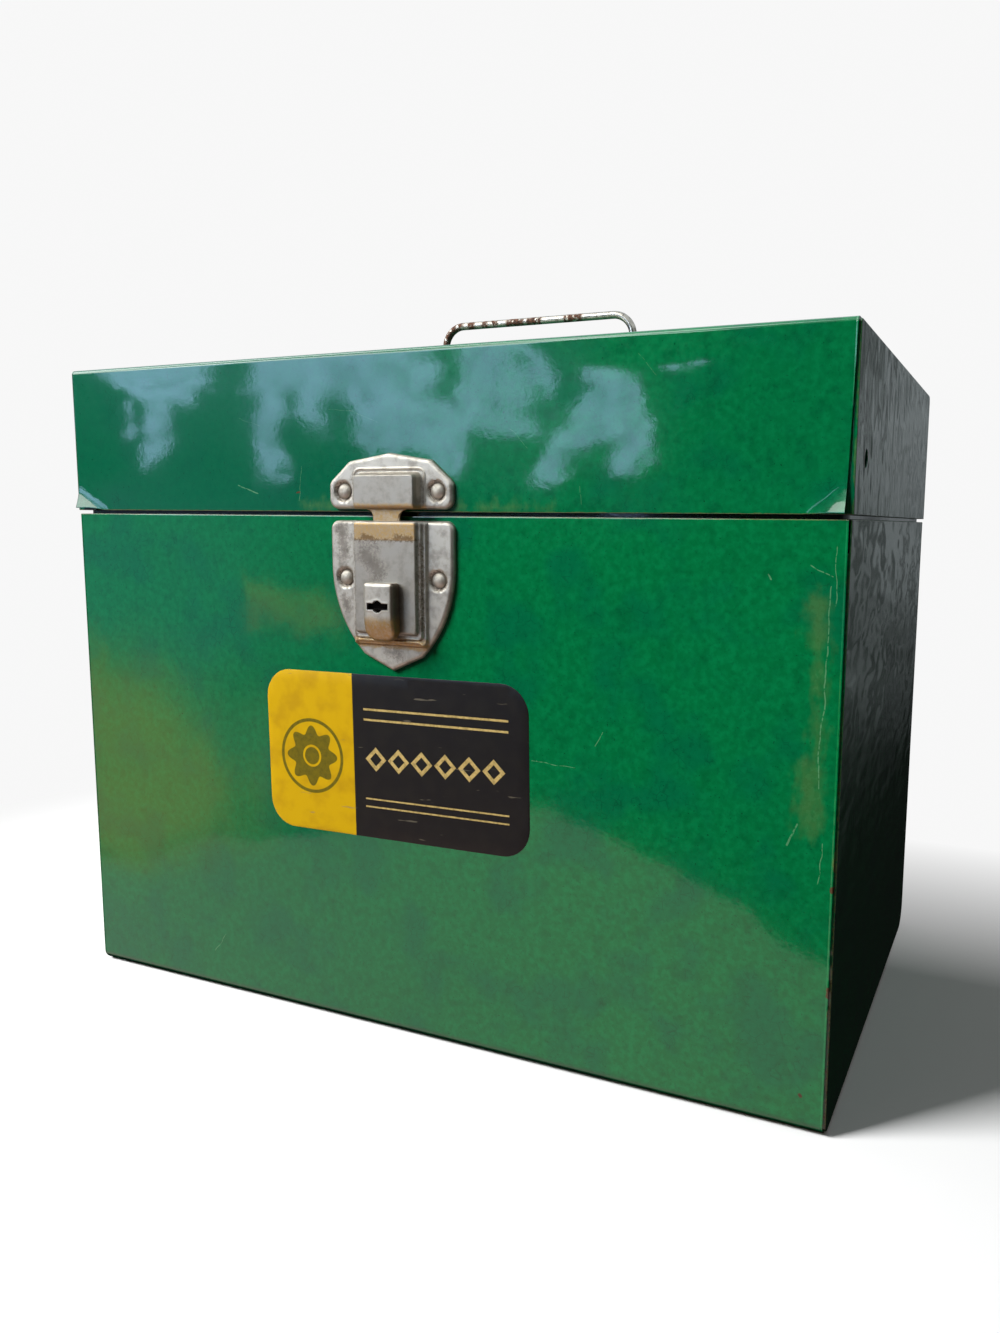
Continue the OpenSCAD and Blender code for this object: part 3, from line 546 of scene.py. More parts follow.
def makeNickel(name, brassZones=(), rough=0.42, stainsAndShade=False):
    # a zone is its low and high x, y and z, then how ragged and how soft it is in z
    finish, shader = newFinish(name)
    where, x, y, z = places()
    cloud = grain(where, 4.5, detail=5.0, rough=0.62, seed=2.0)
    fine = grain(where, 0.7, seed=6.0)
    speck = grain(where, 1.1, detail=4.0, rough=0.75, seed=11.0)
    colour = mixed(times(ease(cloud, 0.42, 0.7), 0.75), metal["nickel"], metal["dull"])
    gloss = between(cloud, rough - 0.08, rough + 0.16)
    if stainsAndShade:
        # painted shade: the faces that stand proudest are darkened towards the dull tone
        colour = mixed(times(ease(y, -102.6, -103.2), 0.55), colour, metal["dull"])
    if name == "slideNickel":
        # painted shade: the slide's right side is darkened with the brown
        shadedFlank = ease(x, latchX + 5.0, latchX + 5.7)
        colour = mixed(times(shadedFlank, 0.75), colour, metal["brown"])
    if brassZones:
        brass = most(*[
            times(within(x, zone[0], zone[1], 0.3), within(y, zone[2], zone[3], 0.3),
                  within(swayed(cloud, zone[6], z), zone[4], zone[5], zone[7])) for zone in brassZones])
        colour = mixed(times(brass, between(ease(speck, 0.35, 0.65), 1.0, 0.5)), colour, metal["brass"])
    if stainsAndShade:
        spot = joined(minus(x, latchX), z)
        grey = ease(swayed(speck, 11.0, field(spot, latchStains["tarnish"])), 1.6, -2.2)
        colour = mixed(times(grey, 0.62), colour, metal["tarnish"])
        brown = ease(swayed(speck, 5.0, field(spot, latchStains["brown"] + latchStains["bandFoot"])), 0.5, -0.5)
        colour = mixed(times(brown, 0.6), colour, metal["brown"])
        gloss = plus(gloss, times(most(grey, brown), 0.2))
    # brown dirt in the corners, where the occlusion mask also paints shade
    hollow = put("ShaderNodeAmbientOcclusion", {"Distance": 1.6 * mm}, samples=6, only_local=True).outputs[1]
    dirtAndShade = ease(swayed(speck, 0.5, hollow), 0.8, 0.35)
    feedAll(shader, {
        "Base Color": mixed(times(dirtAndShade, 0.85), colour, metal["brown"]), "Metallic": between(dirtAndShade, 0.85, 0.3),
        "Roughness": plus(gloss, times(dirtAndShade, 0.3)), "Normal": bumped(fine, 0.008, 0.5)})
    return finish


def makeSteel(name, pale=tint(150, 146, 140), dark=tint(104, 98, 90)):
    finish, shader = newFinish(name)
    cloud = grain(places()[0], 3.0, detail=4.0, seed=8.0)
    feedAll(shader, {
        "Base Color": mixed(ease(cloud, 0.4, 0.7), pale, dark), "Metallic": 1.0,
        "Roughness": between(cloud, 0.3, 0.5), "Normal": bumped(cloud, 0.03, 0.5)})
    return finish


label = {
    "x": -4.2,
    "z": 107.0,
    "halfWide": 57.0,
    "halfTall": 31.0,
    "radius": 11.0,
    "thick": 0.12,
    "turn": 0.75,
    "split": -16.9,
    "flower": (-36.5, -2.0),
    "petals": 8.0,
    "rules": ((17.5, 18.3), (13.6, 14.4), (-16.4, -15.8), (-19.4, -18.8)),
    "ruleEnds": (-12, 49),
    "yellow": (tint(204, 162, 3), tint(188, 146, 6)),
    "black": (tint(9, 7, 7), tint(16, 14, 11)),
    "olive": (tint(112, 98, 10), tint(88, 78, 10)),
    "ink": (tint(206, 178, 112), tint(150, 128, 76)),
    "scuff": tint(120, 112, 96),
}


def makeLabelFinish():
    # a plain two-tone sticker: a flower in a ring on the yellow, ruled lines and lozenges on the black
    finish, shader = newFinish("labelPrint")
    where = places()[0]
    place = made("ShaderNodeMapping", {
        "Vector": where, "Location": (label["x"], box["frontY"], label["z"]),
        "Rotation": (0, -math.radians(label["turn"]), 0)}, vector_type="TEXTURE")
    u, depth, v = put("ShaderNodeSeparateXYZ", {0: place}).outputs
    worn = grain(where, 2.2, detail=4.0, rough=0.7, seed=4.0)
    black = mixed(ease(grain(where, 6.0, seed=12.0), 0.35, 0.7), *label["black"])
    yellow = mixed(ease(grain(where, 9.0, detail=3.0, seed=14.0), 0.4, 0.7), *label["yellow"])
    left = ease(u, label["split"] + 0.12, label["split"] - 0.12)
    colour = mixed(left, black, yellow)
    # the flower, its heart and the ring round it
    ru, rv = (minus(c, middle) for c, middle in zip((u, v), label["flower"]))
    radius = calc("SQRT", plus(times(ru, ru), times(rv, rv)))
    petals = scaled(calc("COSINE", times(calc("ARCTAN2", rv, ru), label["petals"])), 1.6, 10.2)
    flower = ease(minus(radius, petals), 0.15, -0.15)
    heart, ring = within(radius, 3.4, 4.3, 0.12), within(radius, 13.3, 14.6, 0.12)
    motif = most(calc("SUBTRACT", flower, heart, clamp=True), ring)
    colour = mixed(times(left, motif), colour, mixed(ease(worn, 0.3, 0.75), *label["olive"]))
    # ruled lines and a row of lozenges
    rules = most(*[times(within(v, *rule, 0.1), within(u, *label["ruleEnds"], 0.15)) for rule in label["rules"]])
    step = minus(calc("MODULO", plus(u, 112.0), 10.0), 5.0)
    lozenge = plus(calc("ABSOLUTE", step), calc("ABSOLUTE", plus(v, 0.8)))
    rules = most(rules, times(within(lozenge, 2.6, 4.6, 0.15), within(u, -12.0, 48.0, 0.15)))
    ink = mixed(ease(worn, 0.35, 0.7), *label["ink"])
    colour = mixed(times(rules, ease(worn, 0.2, 0.42)), colour, ink)
    scuff = times(ease(grain(where, 1.6, (6, 1, 1), seed=23.0), 0.7, 0.76), 0.5)
    feedAll(shader, {
        "Base Color": mixed(scuff, colour, label["scuff"]), "Roughness": between(worn, 0.3, 0.45),
        "Specular IOR Level": 0.35, "Normal": bumped(worn, 0.02, 0.6)})
    return finish


# bands of rust on the handle's bar, as low and high x
rustBands = ((-44.5, -34), (-31.5, -28), (-24.3, -21.5), (-20, -16.4), (-12, -3.4), (-2, 5.2), (16, 24.6))


def makeWireFinish():
    finish, shader = newFinish("rustyWire")
    where, x, y, z = places()
    cloud = grain(where, 2.0, detail=4.0, rough=0.65, seed=15.0)
    along = scaled(cloud, 3.0, minus(x, 1.5))
    rust = times(most(*[within(along, *band, 0.8) for band in rustBands]), ease(cloud, 0.36, 0.5))
    brown = mixed(ease(grain(where, 0.8, seed=19.0), 0.4, 0.65), tint(96, 62, 44), tint(54, 34, 26))
    bright = mixed(ease(cloud, 0.4, 0.7), metal["nickel"], metal["dull"])
    feedAll(shader, {
        "Base Color": mixed(rust, bright, brown), "Metallic": minus(1.0, times(rust, 0.9)),
        "Roughness": between(rust, 0.22, 0.8), "Normal": bumped(times(grain(where, 0.7, seed=27.0), rust), 0.12)})
    return finish


finishes = {
    "bodyEnamel": makeEnamel("bodyEnamel", bodyCoat, box["halfWidth"], box["frontY"]),
    "lidEnamel": makeEnamel("lidEnamel", lidCoat, box["lidHalfWidth"], box["lidFrontY"]),
    "collarShadeEnamel": makeEnamel("collarShadeEnamel", lidCoat, box["halfWidth"], box["frontY"], inner=True),
    "nickel": makeNickel("nickelPlate"),
    "rivet": makeNickel("rivetNickel", rough=0.5),
    "shield": makeNickel("shieldNickel", [
        (latchX - 12.9, latchX + 12.9, -105, -101.2, 187.4, 193.4, 0.0, 0.25),
        (latchX - 16, latchX + 16, -103, -99.6, 148.4, 152.6, 3.0, 0.5)], stainsAndShade=True),
    "hasp": makeNickel("haspNickel", [(latchX - 15, latchX + 15.5, -106, -98, 190, 200.2, 2.5, 0.5)], stainsAndShade=True),
    "tongue": makeNickel("tongueNickel", [(-20, 20, -106, -98, 180, 200, 0.0, 0.5)]),
    "slide": makeNickel("slideNickel", [(-12, 8, -112, -100, 140, 160.0, 4.0, 1.6)]),
    # painted shade: the cam behind the keyhole is made near black so that the hole reads dark
    "key": makeSteel("keyCamPaintedShade", tint(16, 13, 11), tint(8, 7, 6)),
    "wire": makeWireFinish(),
    "label": makeLabelFinish(),
    "steel": makeSteel("lockSteel"),
}


# helpers for meshes
def settle(name, mesh, finish, body, stands, smoothTo=38.0):
    mesh.name = name
    mesh.materials.clear()
    mesh.materials.append(finishes[finish])
    mesh.polygons.foreach_set("material_index", [0] * len(mesh.polygons))
    if smoothTo:
        mesh.polygons.foreach_set("use_smooth", [True] * len(mesh.polygons))
        mesh.set_sharp_from_angle(angle=math.radians(smoothTo))
    thing = bpy.data.objects.new(name, mesh)
    scene.collection.objects.link(thing)
    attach(thing, body)
    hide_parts(*stands)
    return thing


def meshOf(points, faces):
    # points in mm; doubles are merged and the faces turned outwards
    mesh = bpy.data.meshes.new("piece")
    mesh.from_pydata([[c * mm for c in p] for p in points], [], faces)
    work = bmesh.new()
    work.from_mesh(mesh)
    bmesh.ops.remove_doubles(work, verts=work.verts, dist=1e-6)
    bmesh.ops.recalc_face_normals(work, faces=work.faces)
    work.to_mesh(mesh)
    work.free()
    return mesh


def shopOf(mesh, name="shop"):
    thing = bpy.data.objects.new(name, mesh)
    scene.collection.objects.link(thing)
    return thing


def takenFrom(shop):
    # the mesh after the object's modifiers, as a plain one
    result = bpy.data.meshes.new_from_object(shop.evaluated_get(bpy.context.evaluated_depsgraph_get()))
    bpy.data.objects.remove(shop)
    return result


def carved(mesh, tools):
    # the mesh less the tools, which are used up
    shop = shopOf(mesh)
    for tool in tools:
        cut = shop.modifiers.new("cut", "BOOLEAN")
        cut.operation, cut.solver, cut.object = "DIFFERENCE", "EXACT", tool
    result = takenFrom(shop)
    for tool in tools:
        bpy.data.objects.remove(tool)
    return result


def blockTool(low, high):
    corners = [(x, y, z) for x in (low[0], high[0]) for y in (low[1], high[1]) for z in (low[2], high[2])]
    faces = [(0, 1, 3, 2), (4, 6, 7, 5), (0, 4, 5, 1), (2, 3, 7, 6), (0, 2, 6, 4), (1, 5, 7, 3)]
    return shopOf(meshOf(corners, faces), "tool")


def softened(node, width, finish, body):
    # a copy of a CAD node whose edges are rounded
    work = bmesh.new()
    work.from_mesh(nodes[node].data)
    bmesh.ops.remove_doubles(work, verts=work.verts, dist=2e-6)
    bmesh.ops.dissolve_limit(work, angle_limit=math.radians(0.4), verts=work.verts, edges=work.edges)
    mesh = bpy.data.meshes.new("copy")
    work.to_mesh(mesh)
    work.free()
    mesh.polygons.foreach_set("use_smooth", [True] * len(mesh.polygons))
    shop = shopOf(mesh)
    bevel = shop.modifiers.new("bevel", "BEVEL")
    bevel.width, bevel.segments = width * mm, 2
    bevel.limit_method, bevel.angle_limit = "ANGLE", math.radians(35.0)
    shop.modifiers.new("weights", "WEIGHTED_NORMAL").keep_sharp = True  # the flat faces set the shading
    first, *rest = node.split("_")
    name = first + "".join(word.capitalize() for word in rest)
    return settle(name, takenFrom(shop), finish, body, [node], None)


def steps(a, b, size):
    # evenly spaced values from a to b, no further apart than size
    return list(np.linspace(a, b, max(2, int(math.ceil(abs(b - a) / size)) + 1)))


def curve(t, a, b):
    # 0 at a and 1 at b, eased
    t = min(max((t - a) / (b - a), 0), 1)
    return t * t * (3 - 2 * t)


# bent sheets of the body and the lid
sheets = {
    "bodyFrontBend": 4.5,
    "bodyBackBend": 11.0,
    "lidFrontBend": 1.6,
    "lidBackBend": 3.6,
    "rim": 0.22,
    "bodyStep": 5.0,
    "lidStep": 2.5,
    "bow": 0.16,
    "flareOut": 2.0,
    "flareWide": 19.0,
    "flareTall": 12.5,
    "gapLow": 1.5,
}


def channelPath(y0, y1, zFree, zShut, rFront, rBack, size, rim=0.0):
    # from the free edge in front, round both bends, to the free edge at the back
    # extra lines beside the rims and bends keep the flats flat in the shading
    way = 1 if zShut > zFree else -1
    near = 0.3

    def flat(a, b):
        side = 1 if b > a else -1
        return [a] + steps(a + side * near, b - side * near, size) + [b]

    path = []
    if rim:
        path += [(y0 + rim, zFree), (y0 + rim * 0.3, zFree + way * rim * 0.3)]
    path += [(y0, z) for z in flat(zFree + way * rim, zShut - way * rFront)]
    turns = [math.pi / 2 * i / 8 for i in range(1, 8)]
    path += [(y0 + rFront - rFront * math.cos(a), zShut - way * rFront * (1 - math.sin(a))) for a in turns]
    path += [(y, zShut) for y in flat(y0 + rFront, y1 - rBack)]
    path += [(y1 - rBack + rBack * math.sin(a), zShut - way * rBack * (1 - math.cos(a))) for a in turns]
    path += [(y1, z) for z in flat(zShut - way * rBack, zFree + way * rim)]
    if rim:
        path += [(y1 - rim * 0.3, zFree + way * rim * 0.3), (y1 - rim, zFree)]
    return path


def sweptSheet(loop, half, shape):
    # the loop drawn along x between both ends, with finer columns near them
    fine = steps(-half, -half + 24, 1.5)
    columns = fine + steps(-half + 24, half - 24, sheets["bodyStep"])[1:-1] + [-x for x in reversed(fine)]
    count = len(loop)
    points = [shape(x, y, z) for x in columns for y, z in loop]
    faces = []
    for i in range(len(columns) - 1):
        for j in range(count):
            k = (j + 1) % count
            faces.append((i * count + j, i * count + k, (i + 1) * count + k, (i + 1) * count + j))
    last = (len(columns) - 1) * count
    for tri in tessellate_polygon([[Vector((y, z, 0)) for y, z in loop]]):
        faces += [tuple(tri), tuple(last + k for k in reversed(tri))]
    return meshOf(points, faces)


def sheetLoop(y0, y1, zFree, zShut, rFront, rBack, size):
    t = box["sheet"]
    way = 1 if zShut > zFree else -1
    outer = channelPath(y0, y1, zFree, zShut, rFront, rBack, size, sheets["rim"])
    inner = channelPath(y0 + t, y1 - t, zFree, zShut - way * t, rFront - t, rBack - t, size)
    return outer + inner[::-1]


def bowed(x, z):
    # slow waves of pressed sheet
    return (math.sin(x / 31 + 1.3) * math.sin(z / 23 + 0.4) + 0.6 * math.sin(x / 19 - z / 41 + 2.1)) * sheets["bow"]


def bodyShape(x, y, z):
    # flat under the latch and the label, and straight at the edges
    away = max(curve(abs(x - latchX), 64, 92), curve(-z, -70, -45))
    calm = away * curve(z, 4, 30) * curve(-z, -194, -176) * curve(-abs(x), -156, -130)
    outward = 1 if y < 0 else -1
    if abs(y) > 97.0:
        y -= outward * bowed(x, z) * calm
    return (x, y, z)


def lidShape(x, y, z):
    low = z - box["lidZ"]
    up = low / (box["lidTop"] - box["lidZ"])
    front = y < 0
    side = abs(x)
    if side > 140 and z < box["lidTop"] - 0.8:
        # the ends of the wrap have drawn in a little, more so at the lower edge in front
        pull = sheets["gapLow"] if front and x > 0 else 0.5
        x -= math.copysign(pull * (1 - up) * curve(side, 150, 158.25), x)
    if front and y < -97.9:
        calm = curve(up, 0, 0.25) * curve(-up, -1, -0.8) * curve(-side, -156, -130) * curve(abs(x - latchX), 26, 50)
        y -= bowed(x, z) * calm
        # flared lower corners, the left one lower and turned up
        tall = sheets["flareTall"] * (0.8 if x < 0 else 1.0)
        t = 1 - low / tall - (158.25 - side) / sheets["flareWide"]
        if t > 0:
            y -= sheets["flareOut"] * (t ** 1.9) * (1.05 if x < 0 else 0.9)
            z += 0.9 * curve(t, 0.1, 0.7) if x < 0 else 0.35 * curve(t, 0.2, 0.8)
    elif z > box["lidTop"] - 0.8:
        calm = curve(-side, -156, -120) * curve(-abs(y), -95, -70)
        z -= max(bowed(x * 0.8, y), 0) * calm * 0.8
    return (x, y, z)


def makeSheets():
    loop = sheetLoop(box["frontY"], box["backY"], box["seamZ"], 0.0, sheets["bodyFrontBend"], sheets["bodyBackBend"],
                     sheets["bodyStep"])
    mesh = sweptSheet(loop, box["halfWidth"] - box["endReveal"], bodyShape)
    settle("bodySheet", mesh, "bodyEnamel", "body", ["body_wrap"])
    loop = sheetLoop(box["lidFrontY"], box["lidBackY"], box["lidZ"], box["lidTop"], sheets["lidFrontBend"],
                     sheets["lidBackBend"], sheets["lidStep"])
    mesh = sweptSheet(loop, box["lidHalfWidth"] - box["endReveal"], lidShape)
    settle("lidSheet", mesh, "lidEnamel", "lid", ["lid_wrap"])
    for side in ("left", "right"):
        softened(f"body_end_{side}", 0.2, "bodyEnamel", "body")
    softened("body_collar", 0.2, "collarShadeEnamel", "body")
    for side in ("left", "right"):
        softened(f"lid_end_{side}", 0.2, "lidEnamel", "lid")


makeSheets()
print("sheets made")


# plates pressed from thin sheet: shield, hasp, slide, label
def insideOf(points, outline):
    x, z = points[:, 0], points[:, 1]
    inside = np.zeros(len(points), bool)
    for a, b in zip(outline, np.roll(outline, -1, 0)):
        if a[1] != b[1]:
            crosses = (a[1] > z) != (b[1] > z)
            inside ^= crosses & (x < (b[0] - a[0]) * (z - a[1]) / (b[1] - a[1]) + a[0])
    return inside


def edgeDistance(points, outline):
    best = np.full(len(points), 1e9)
    for a, b in zip(outline, np.roll(outline, -1, 0)):
        along = b - a
        t = np.clip(((points - a) @ along) / max(along @ along, 1e-12), 0, 1)
        best = np.minimum(best, np.linalg.norm(points - a - t[:, None] * along, axis=1))
    return best


def densified(outline, size):
    dense = []
    for a, b in zip(outline, outline[1:] + outline[:1]):
        count = max(1, int(math.ceil(math.dist(a, b) / size)))
        dense += [(a[0] + (b[0] - a[0]) * i / count, a[1] + (b[1] - a[1]) * i / count) for i in range(count)]
    return np.array(dense)


def pressedMesh(outline, top, under, columns, rows, rings, size=0.5):
    # top and under give the depth outwards from the front at x, z and the distance from the outline
    rim = densified(outline, size)
    ahead = np.roll(rim, -1, 0) - np.roll(rim, 1, 0)
    inward = np.stack([-ahead[:, 1], ahead[:, 0]], 1) / np.maximum(np.linalg.norm(ahead, axis=1), 1e-9)[:, None]
    if not insideOf(rim[:1] + inward[:1] * 0.05, rim)[0]:
        inward = -inward
    inner = []
    for depth in rings:
        ring = rim + inward * depth
        inner.append(ring[insideOf(ring, rim) & (edgeDistance(ring, rim) > depth * 0.97)])
    grid = np.stack([line.ravel() for line in np.meshgrid(columns, rows)], 1)
    grid = grid[insideOf(grid, rim)]
    grid = grid[edgeDistance(grid, rim) > max(rings) + size * 0.4]
    flat = np.concatenate([rim] + inner + [grid])
    loop = [(i, (i + 1) % len(rim)) for i in range(len(rim))]
    net = delaunay_2d_cdt([Vector(p) for p in flat], loop, [], 1, 1e-6)
    xz = np.array([tuple(v) for v in net[0]])
    triangles = [tuple(f) for f in net[2]]
    away = edgeDistance(xz, rim)
    count = len(xz)
    points = [(x, box["frontY"] - p, z) for side in (top, under)
              for (x, z), p in zip(xz, side(xz[:, 0], xz[:, 1], away))]
    faces = triangles + [tuple(count + k for k in reversed(f)) for f in triangles]
    used = {(a, b): True for f in triangles for a, b in ((f[0], f[1]), (f[1], f[2]), (f[2], f[0]))}
    faces += [(b, a, a + count, b + count) for a, b in used if (b, a) not in used]
    return meshOf(points, faces)


def rise(u, z, half, low, high, corner, wall, height):
    # a raised block about the middle line, with rounded corners and a wall of the given width
    qx = np.abs(u) - (half - corner)
    qz = np.abs(z - (low + high) / 2) - ((high - low) / 2 - corner)
    beyond = np.hypot(np.maximum(qx, 0), np.maximum(qz, 0)) + np.minimum(np.maximum(qx, qz), 0) - corner
    s = np.clip(-beyond / wall, 0, 1)
    return height * s * s * (3 - 2 * s)


def roundedOff(away, width, drop=None):
    # how far a rounded edge lies below the face
    d = 1 - np.minimum(away, width) / width
    return (drop or width) * (1 - np.sqrt(np.maximum(1 - d * d, 0)))


def arcs(cx, cz, r, a, b, count=8):
    turns = [math.radians(a + (b - a) * i / count) for i in range(count + 1)]
    return [(cx + r * math.cos(turn), cz + r * math.sin(turn)) for turn in turns]


def roundedBox(lowX, lowZ, highX, highZ, radii):
    a, b, c, d = radii
    return (arcs(lowX + a, lowZ + a, a, 180, 270) + arcs(highX - b, lowZ + b, b, 270, 360)
            + arcs(highX - c, highZ - c, c, 0, 90) + arcs(lowX + d, highZ - d, d, 90, 180))


latch = {
    "thick": 0.9,
    "face": 1.8,
    "halfWidth": 26.1,
    "topZ": 194.3,
    "pointZ": 140.2,
    "rivetOut": 19.7,
    "rivetZ": 173.5,
    "dishRadius": 4.0,
    "dishDepth": 1.2,
    "caseHalf": 13.2,
    "caseLow": 153.8,
    "caseProud": 5.6,
    "stepHalf": 15.2,
    "stepLow": 149.4,
    "stepProud": 3.0,
    "wall": 0.55,
    "edge": 1.2,
    "edgeDrop": 1.7,
    "midHalf": 14.5,
    "midLow": 152.0,
    "midProud": 4.2,
    "lip": 0.7,
    "rings": (0.08, 0.22, 0.45, 0.8, 1.2, 1.7),
}


def dished(h, u, z, rivetZ):
    # the plate sinks round each of its two rivets
    for side in (-1, 1):
        far = np.hypot(u - side * latch["rivetOut"], z - rivetZ)
        s = np.clip((latch["dishRadius"] - far) / 1.0, 0, 1)
        h = h - latch["dishDepth"] * s * s * (3 - 2 * s)
    return h


def fineLines(spots, spread, size):
    return [value for spot in spots for value in np.arange(spot - spread, spot + spread + 1e-9, size)]


def gridLines(low, high, size, fine):
    lines = np.sort(np.concatenate([np.arange(low, high, size), fine]))
    keep = [lines[0]]
    for value in lines[1:]:
        if value - keep[-1] > 0.07:
            keep.append(value)
    return np.array(keep)


def plateMesh(half, low, high, outer, under, wallsX, wallsZ, cuts):
    # a plate as wide as the latch from its right half, with finer lines at its walls
    w, front = latch["halfWidth"], box["frontY"]
    outline = [(latchX + x, z) for x, z in half] + [(latchX - x, z) for x, z in reversed(half) if x > 0.01]
    wallsX = [latchX + s * v for s in (-1, 1) for v in wallsX]
    columns = gridLines(latchX - w, latchX + w, 0.6, fineLines(wallsX, 0.5, 0.14))
    rows = gridLines(low, high, 0.6, fineLines(wallsZ, 0.5, 0.14))
    mesh = pressedMesh(outline, outer, under, columns, rows, latch["rings"])
    return carved(mesh, [blockTool((latchX - side, front - p1, z0), (latchX + side, front - p0, z1))
                         for side, p0, p1, z0, z1 in cuts])


def makeShield():
    w, top = latch["halfWidth"], latch["topZ"]
    sweepR, sweepZ, sweepEnd, corner = 44.7, top - 16.3, -44.6, 3.2
    stepX, stepZ = w - 13, sweepZ - 31.6
    half = [(0, latch["pointZ"]), (stepX - 0.7, stepZ - 0.7), (stepX, stepZ)]
    half += arcs(w - sweepR, sweepZ, sweepR, sweepEnd, 0, 16) + arcs(w - corner, top - corner, corner, 0, 90)

    def outer(x, z, away):
        u = x - latchX
        h = np.full_like(x, latch["face"])
        for side, low, radius, wall, height in (
                (latch["stepHalf"] + 0.8, latch["stepLow"], 2.2, 0.7, latch["stepProud"] - latch["face"]),
                (latch["midHalf"] + 0.2, latch["midLow"], 1.8, 0.6, latch["midProud"] - latch["stepProud"]),
                (latch["caseHalf"] + 0.3, latch["caseLow"], 1.6, 0.8, latch["caseProud"] - latch["midProud"])):
            h = h + rise(u, z, side, low, top + 9, radius, wall, height)
        # a rolled lip under the case, its ends turned down
        lipZ = 151.4 - 1.6 * np.clip((np.abs(u) - 12.4) / 2.6, 0, 1) ** 2
        h = h + latch["lip"] * np.exp(-((z - lipZ) / 0.75) ** 2) * np.clip((15.6 - np.abs(u)) / 0.8, 0, 1)
        return np.maximum(dished(h, u, z, latch["rivetZ"]) - roundedOff(away, latch["edge"], latch["edgeDrop"]), 0.05)

    def under(x, z, away):
        u, t = x - latchX, latch["thick"]
        h = rise(u, z, latch["stepHalf"] - 1, latch["stepLow"] + 1, top - t, 1.4, latch["wall"],
                 latch["stepProud"] - t)
        return h + rise(u, z, latch["caseHalf"] - 1, latch["caseLow"] + 1, top - t, 1.2, latch["wall"],
                        latch["caseProud"] - latch["stepProud"])

    wallsX = (latch["caseHalf"], latch["midHalf"] - 0.1, latch["stepHalf"] + 0.4)
    wallsZ = (latch["caseLow"] + 0.3, latch["midLow"] + 0.2, latch["stepLow"] + 0.3, latch["stepLow"] + 1.3)
    cuts = ((6, 2.5, 4.4, top - 1.6, top + 1), (3.5, 4.0, 6.5, 156.7, 167.7))
    mesh = plateMesh(half, latch["pointZ"], top, outer, under, wallsX, wallsZ, cuts)
    settle("shield", mesh, "shield", "body", ["latch_plate"], 50)


hasp = {
    "low": 198.3,
    "sideTall": 9.0,
    "shoulder": 17.1,
    "tall": 19.8,
    "bossHalf": 13.8,
    "bossTop": 211.4,
    "bossProud": 5.7,
    "rivetZ": 204.6,
    "back": 0.4,
}


def makeHasp():
    w, low, boss, bossTop = latch["halfWidth"], hasp["low"], hasp["bossHalf"], hasp["bossTop"]
    half = arcs(w - 3.6, low + 3.6, 3.6, -90, 0) + [
        (w, low + hasp["sideTall"]), (w - 1, low + hasp["sideTall"] + 1.4), (w - 8.8, low + hasp["shoulder"]),
        (w - 14, low + hasp["shoulder"] + 0.8), (0, low + hasp["tall"])]

    def outer(x, z, away):
        u = x - latchX
        h = np.full_like(x, latch["face"])
        h = h + rise(u, z, boss, low - 9, bossTop, 2.4, 1.5, hasp["bossProud"] - latch["face"])
        # a low bead round the boss
        beyond = rise(u, z, boss + 1.7, low - 9, bossTop + 1.7, 3.2, 0.5, 1.0)
        h = h + 0.22 * (beyond - rise(u, z, boss + 1.1, low - 9, bossTop + 1.1, 2.6, 0.5, 1.0))
        h = dished(h, u, z, hasp["rivetZ"])
        return hasp["back"] + np.maximum(h - roundedOff(away, latch["edge"], latch["edgeDrop"]), 0.05)

    def under(x, z, away):
        t = latch["thick"]
        return hasp["back"] + rise(x - latchX, z, boss - 1, low + t, bossTop - t, 1.2, 0.5, hasp["bossProud"] - t)

    wallsX = (boss - 0.3, boss - 1.3, boss + 1.2)
    wallsZ = (bossTop - 0.3, bossTop - 1.3, bossTop + 1.2, low + 1.1)
    cuts = ((8.3, 2.8, 4.1, low - 1, low + 2.2),)
    mesh = plateMesh(half, low, low + hasp["tall"], outer, under, wallsX, wallsZ, cuts)
    settle("haspPlate", mesh, "hasp", "lid", ["hasp_plate"], 50)
    softened("hasp_tongue", 0.25, "tongue", "lid")


slide = {
    "half": 6.4,
    "topZ": 172.5,
    "lowZ": 151.5,
    "backP": 5.9,
    "faceP": 10.5,
    "wall": 1.2,
    "keyZ": 164.2,
    "slotHalf": 4.45,
    "slotTall": 2.4,
    "keyRadius": 2.2,
}


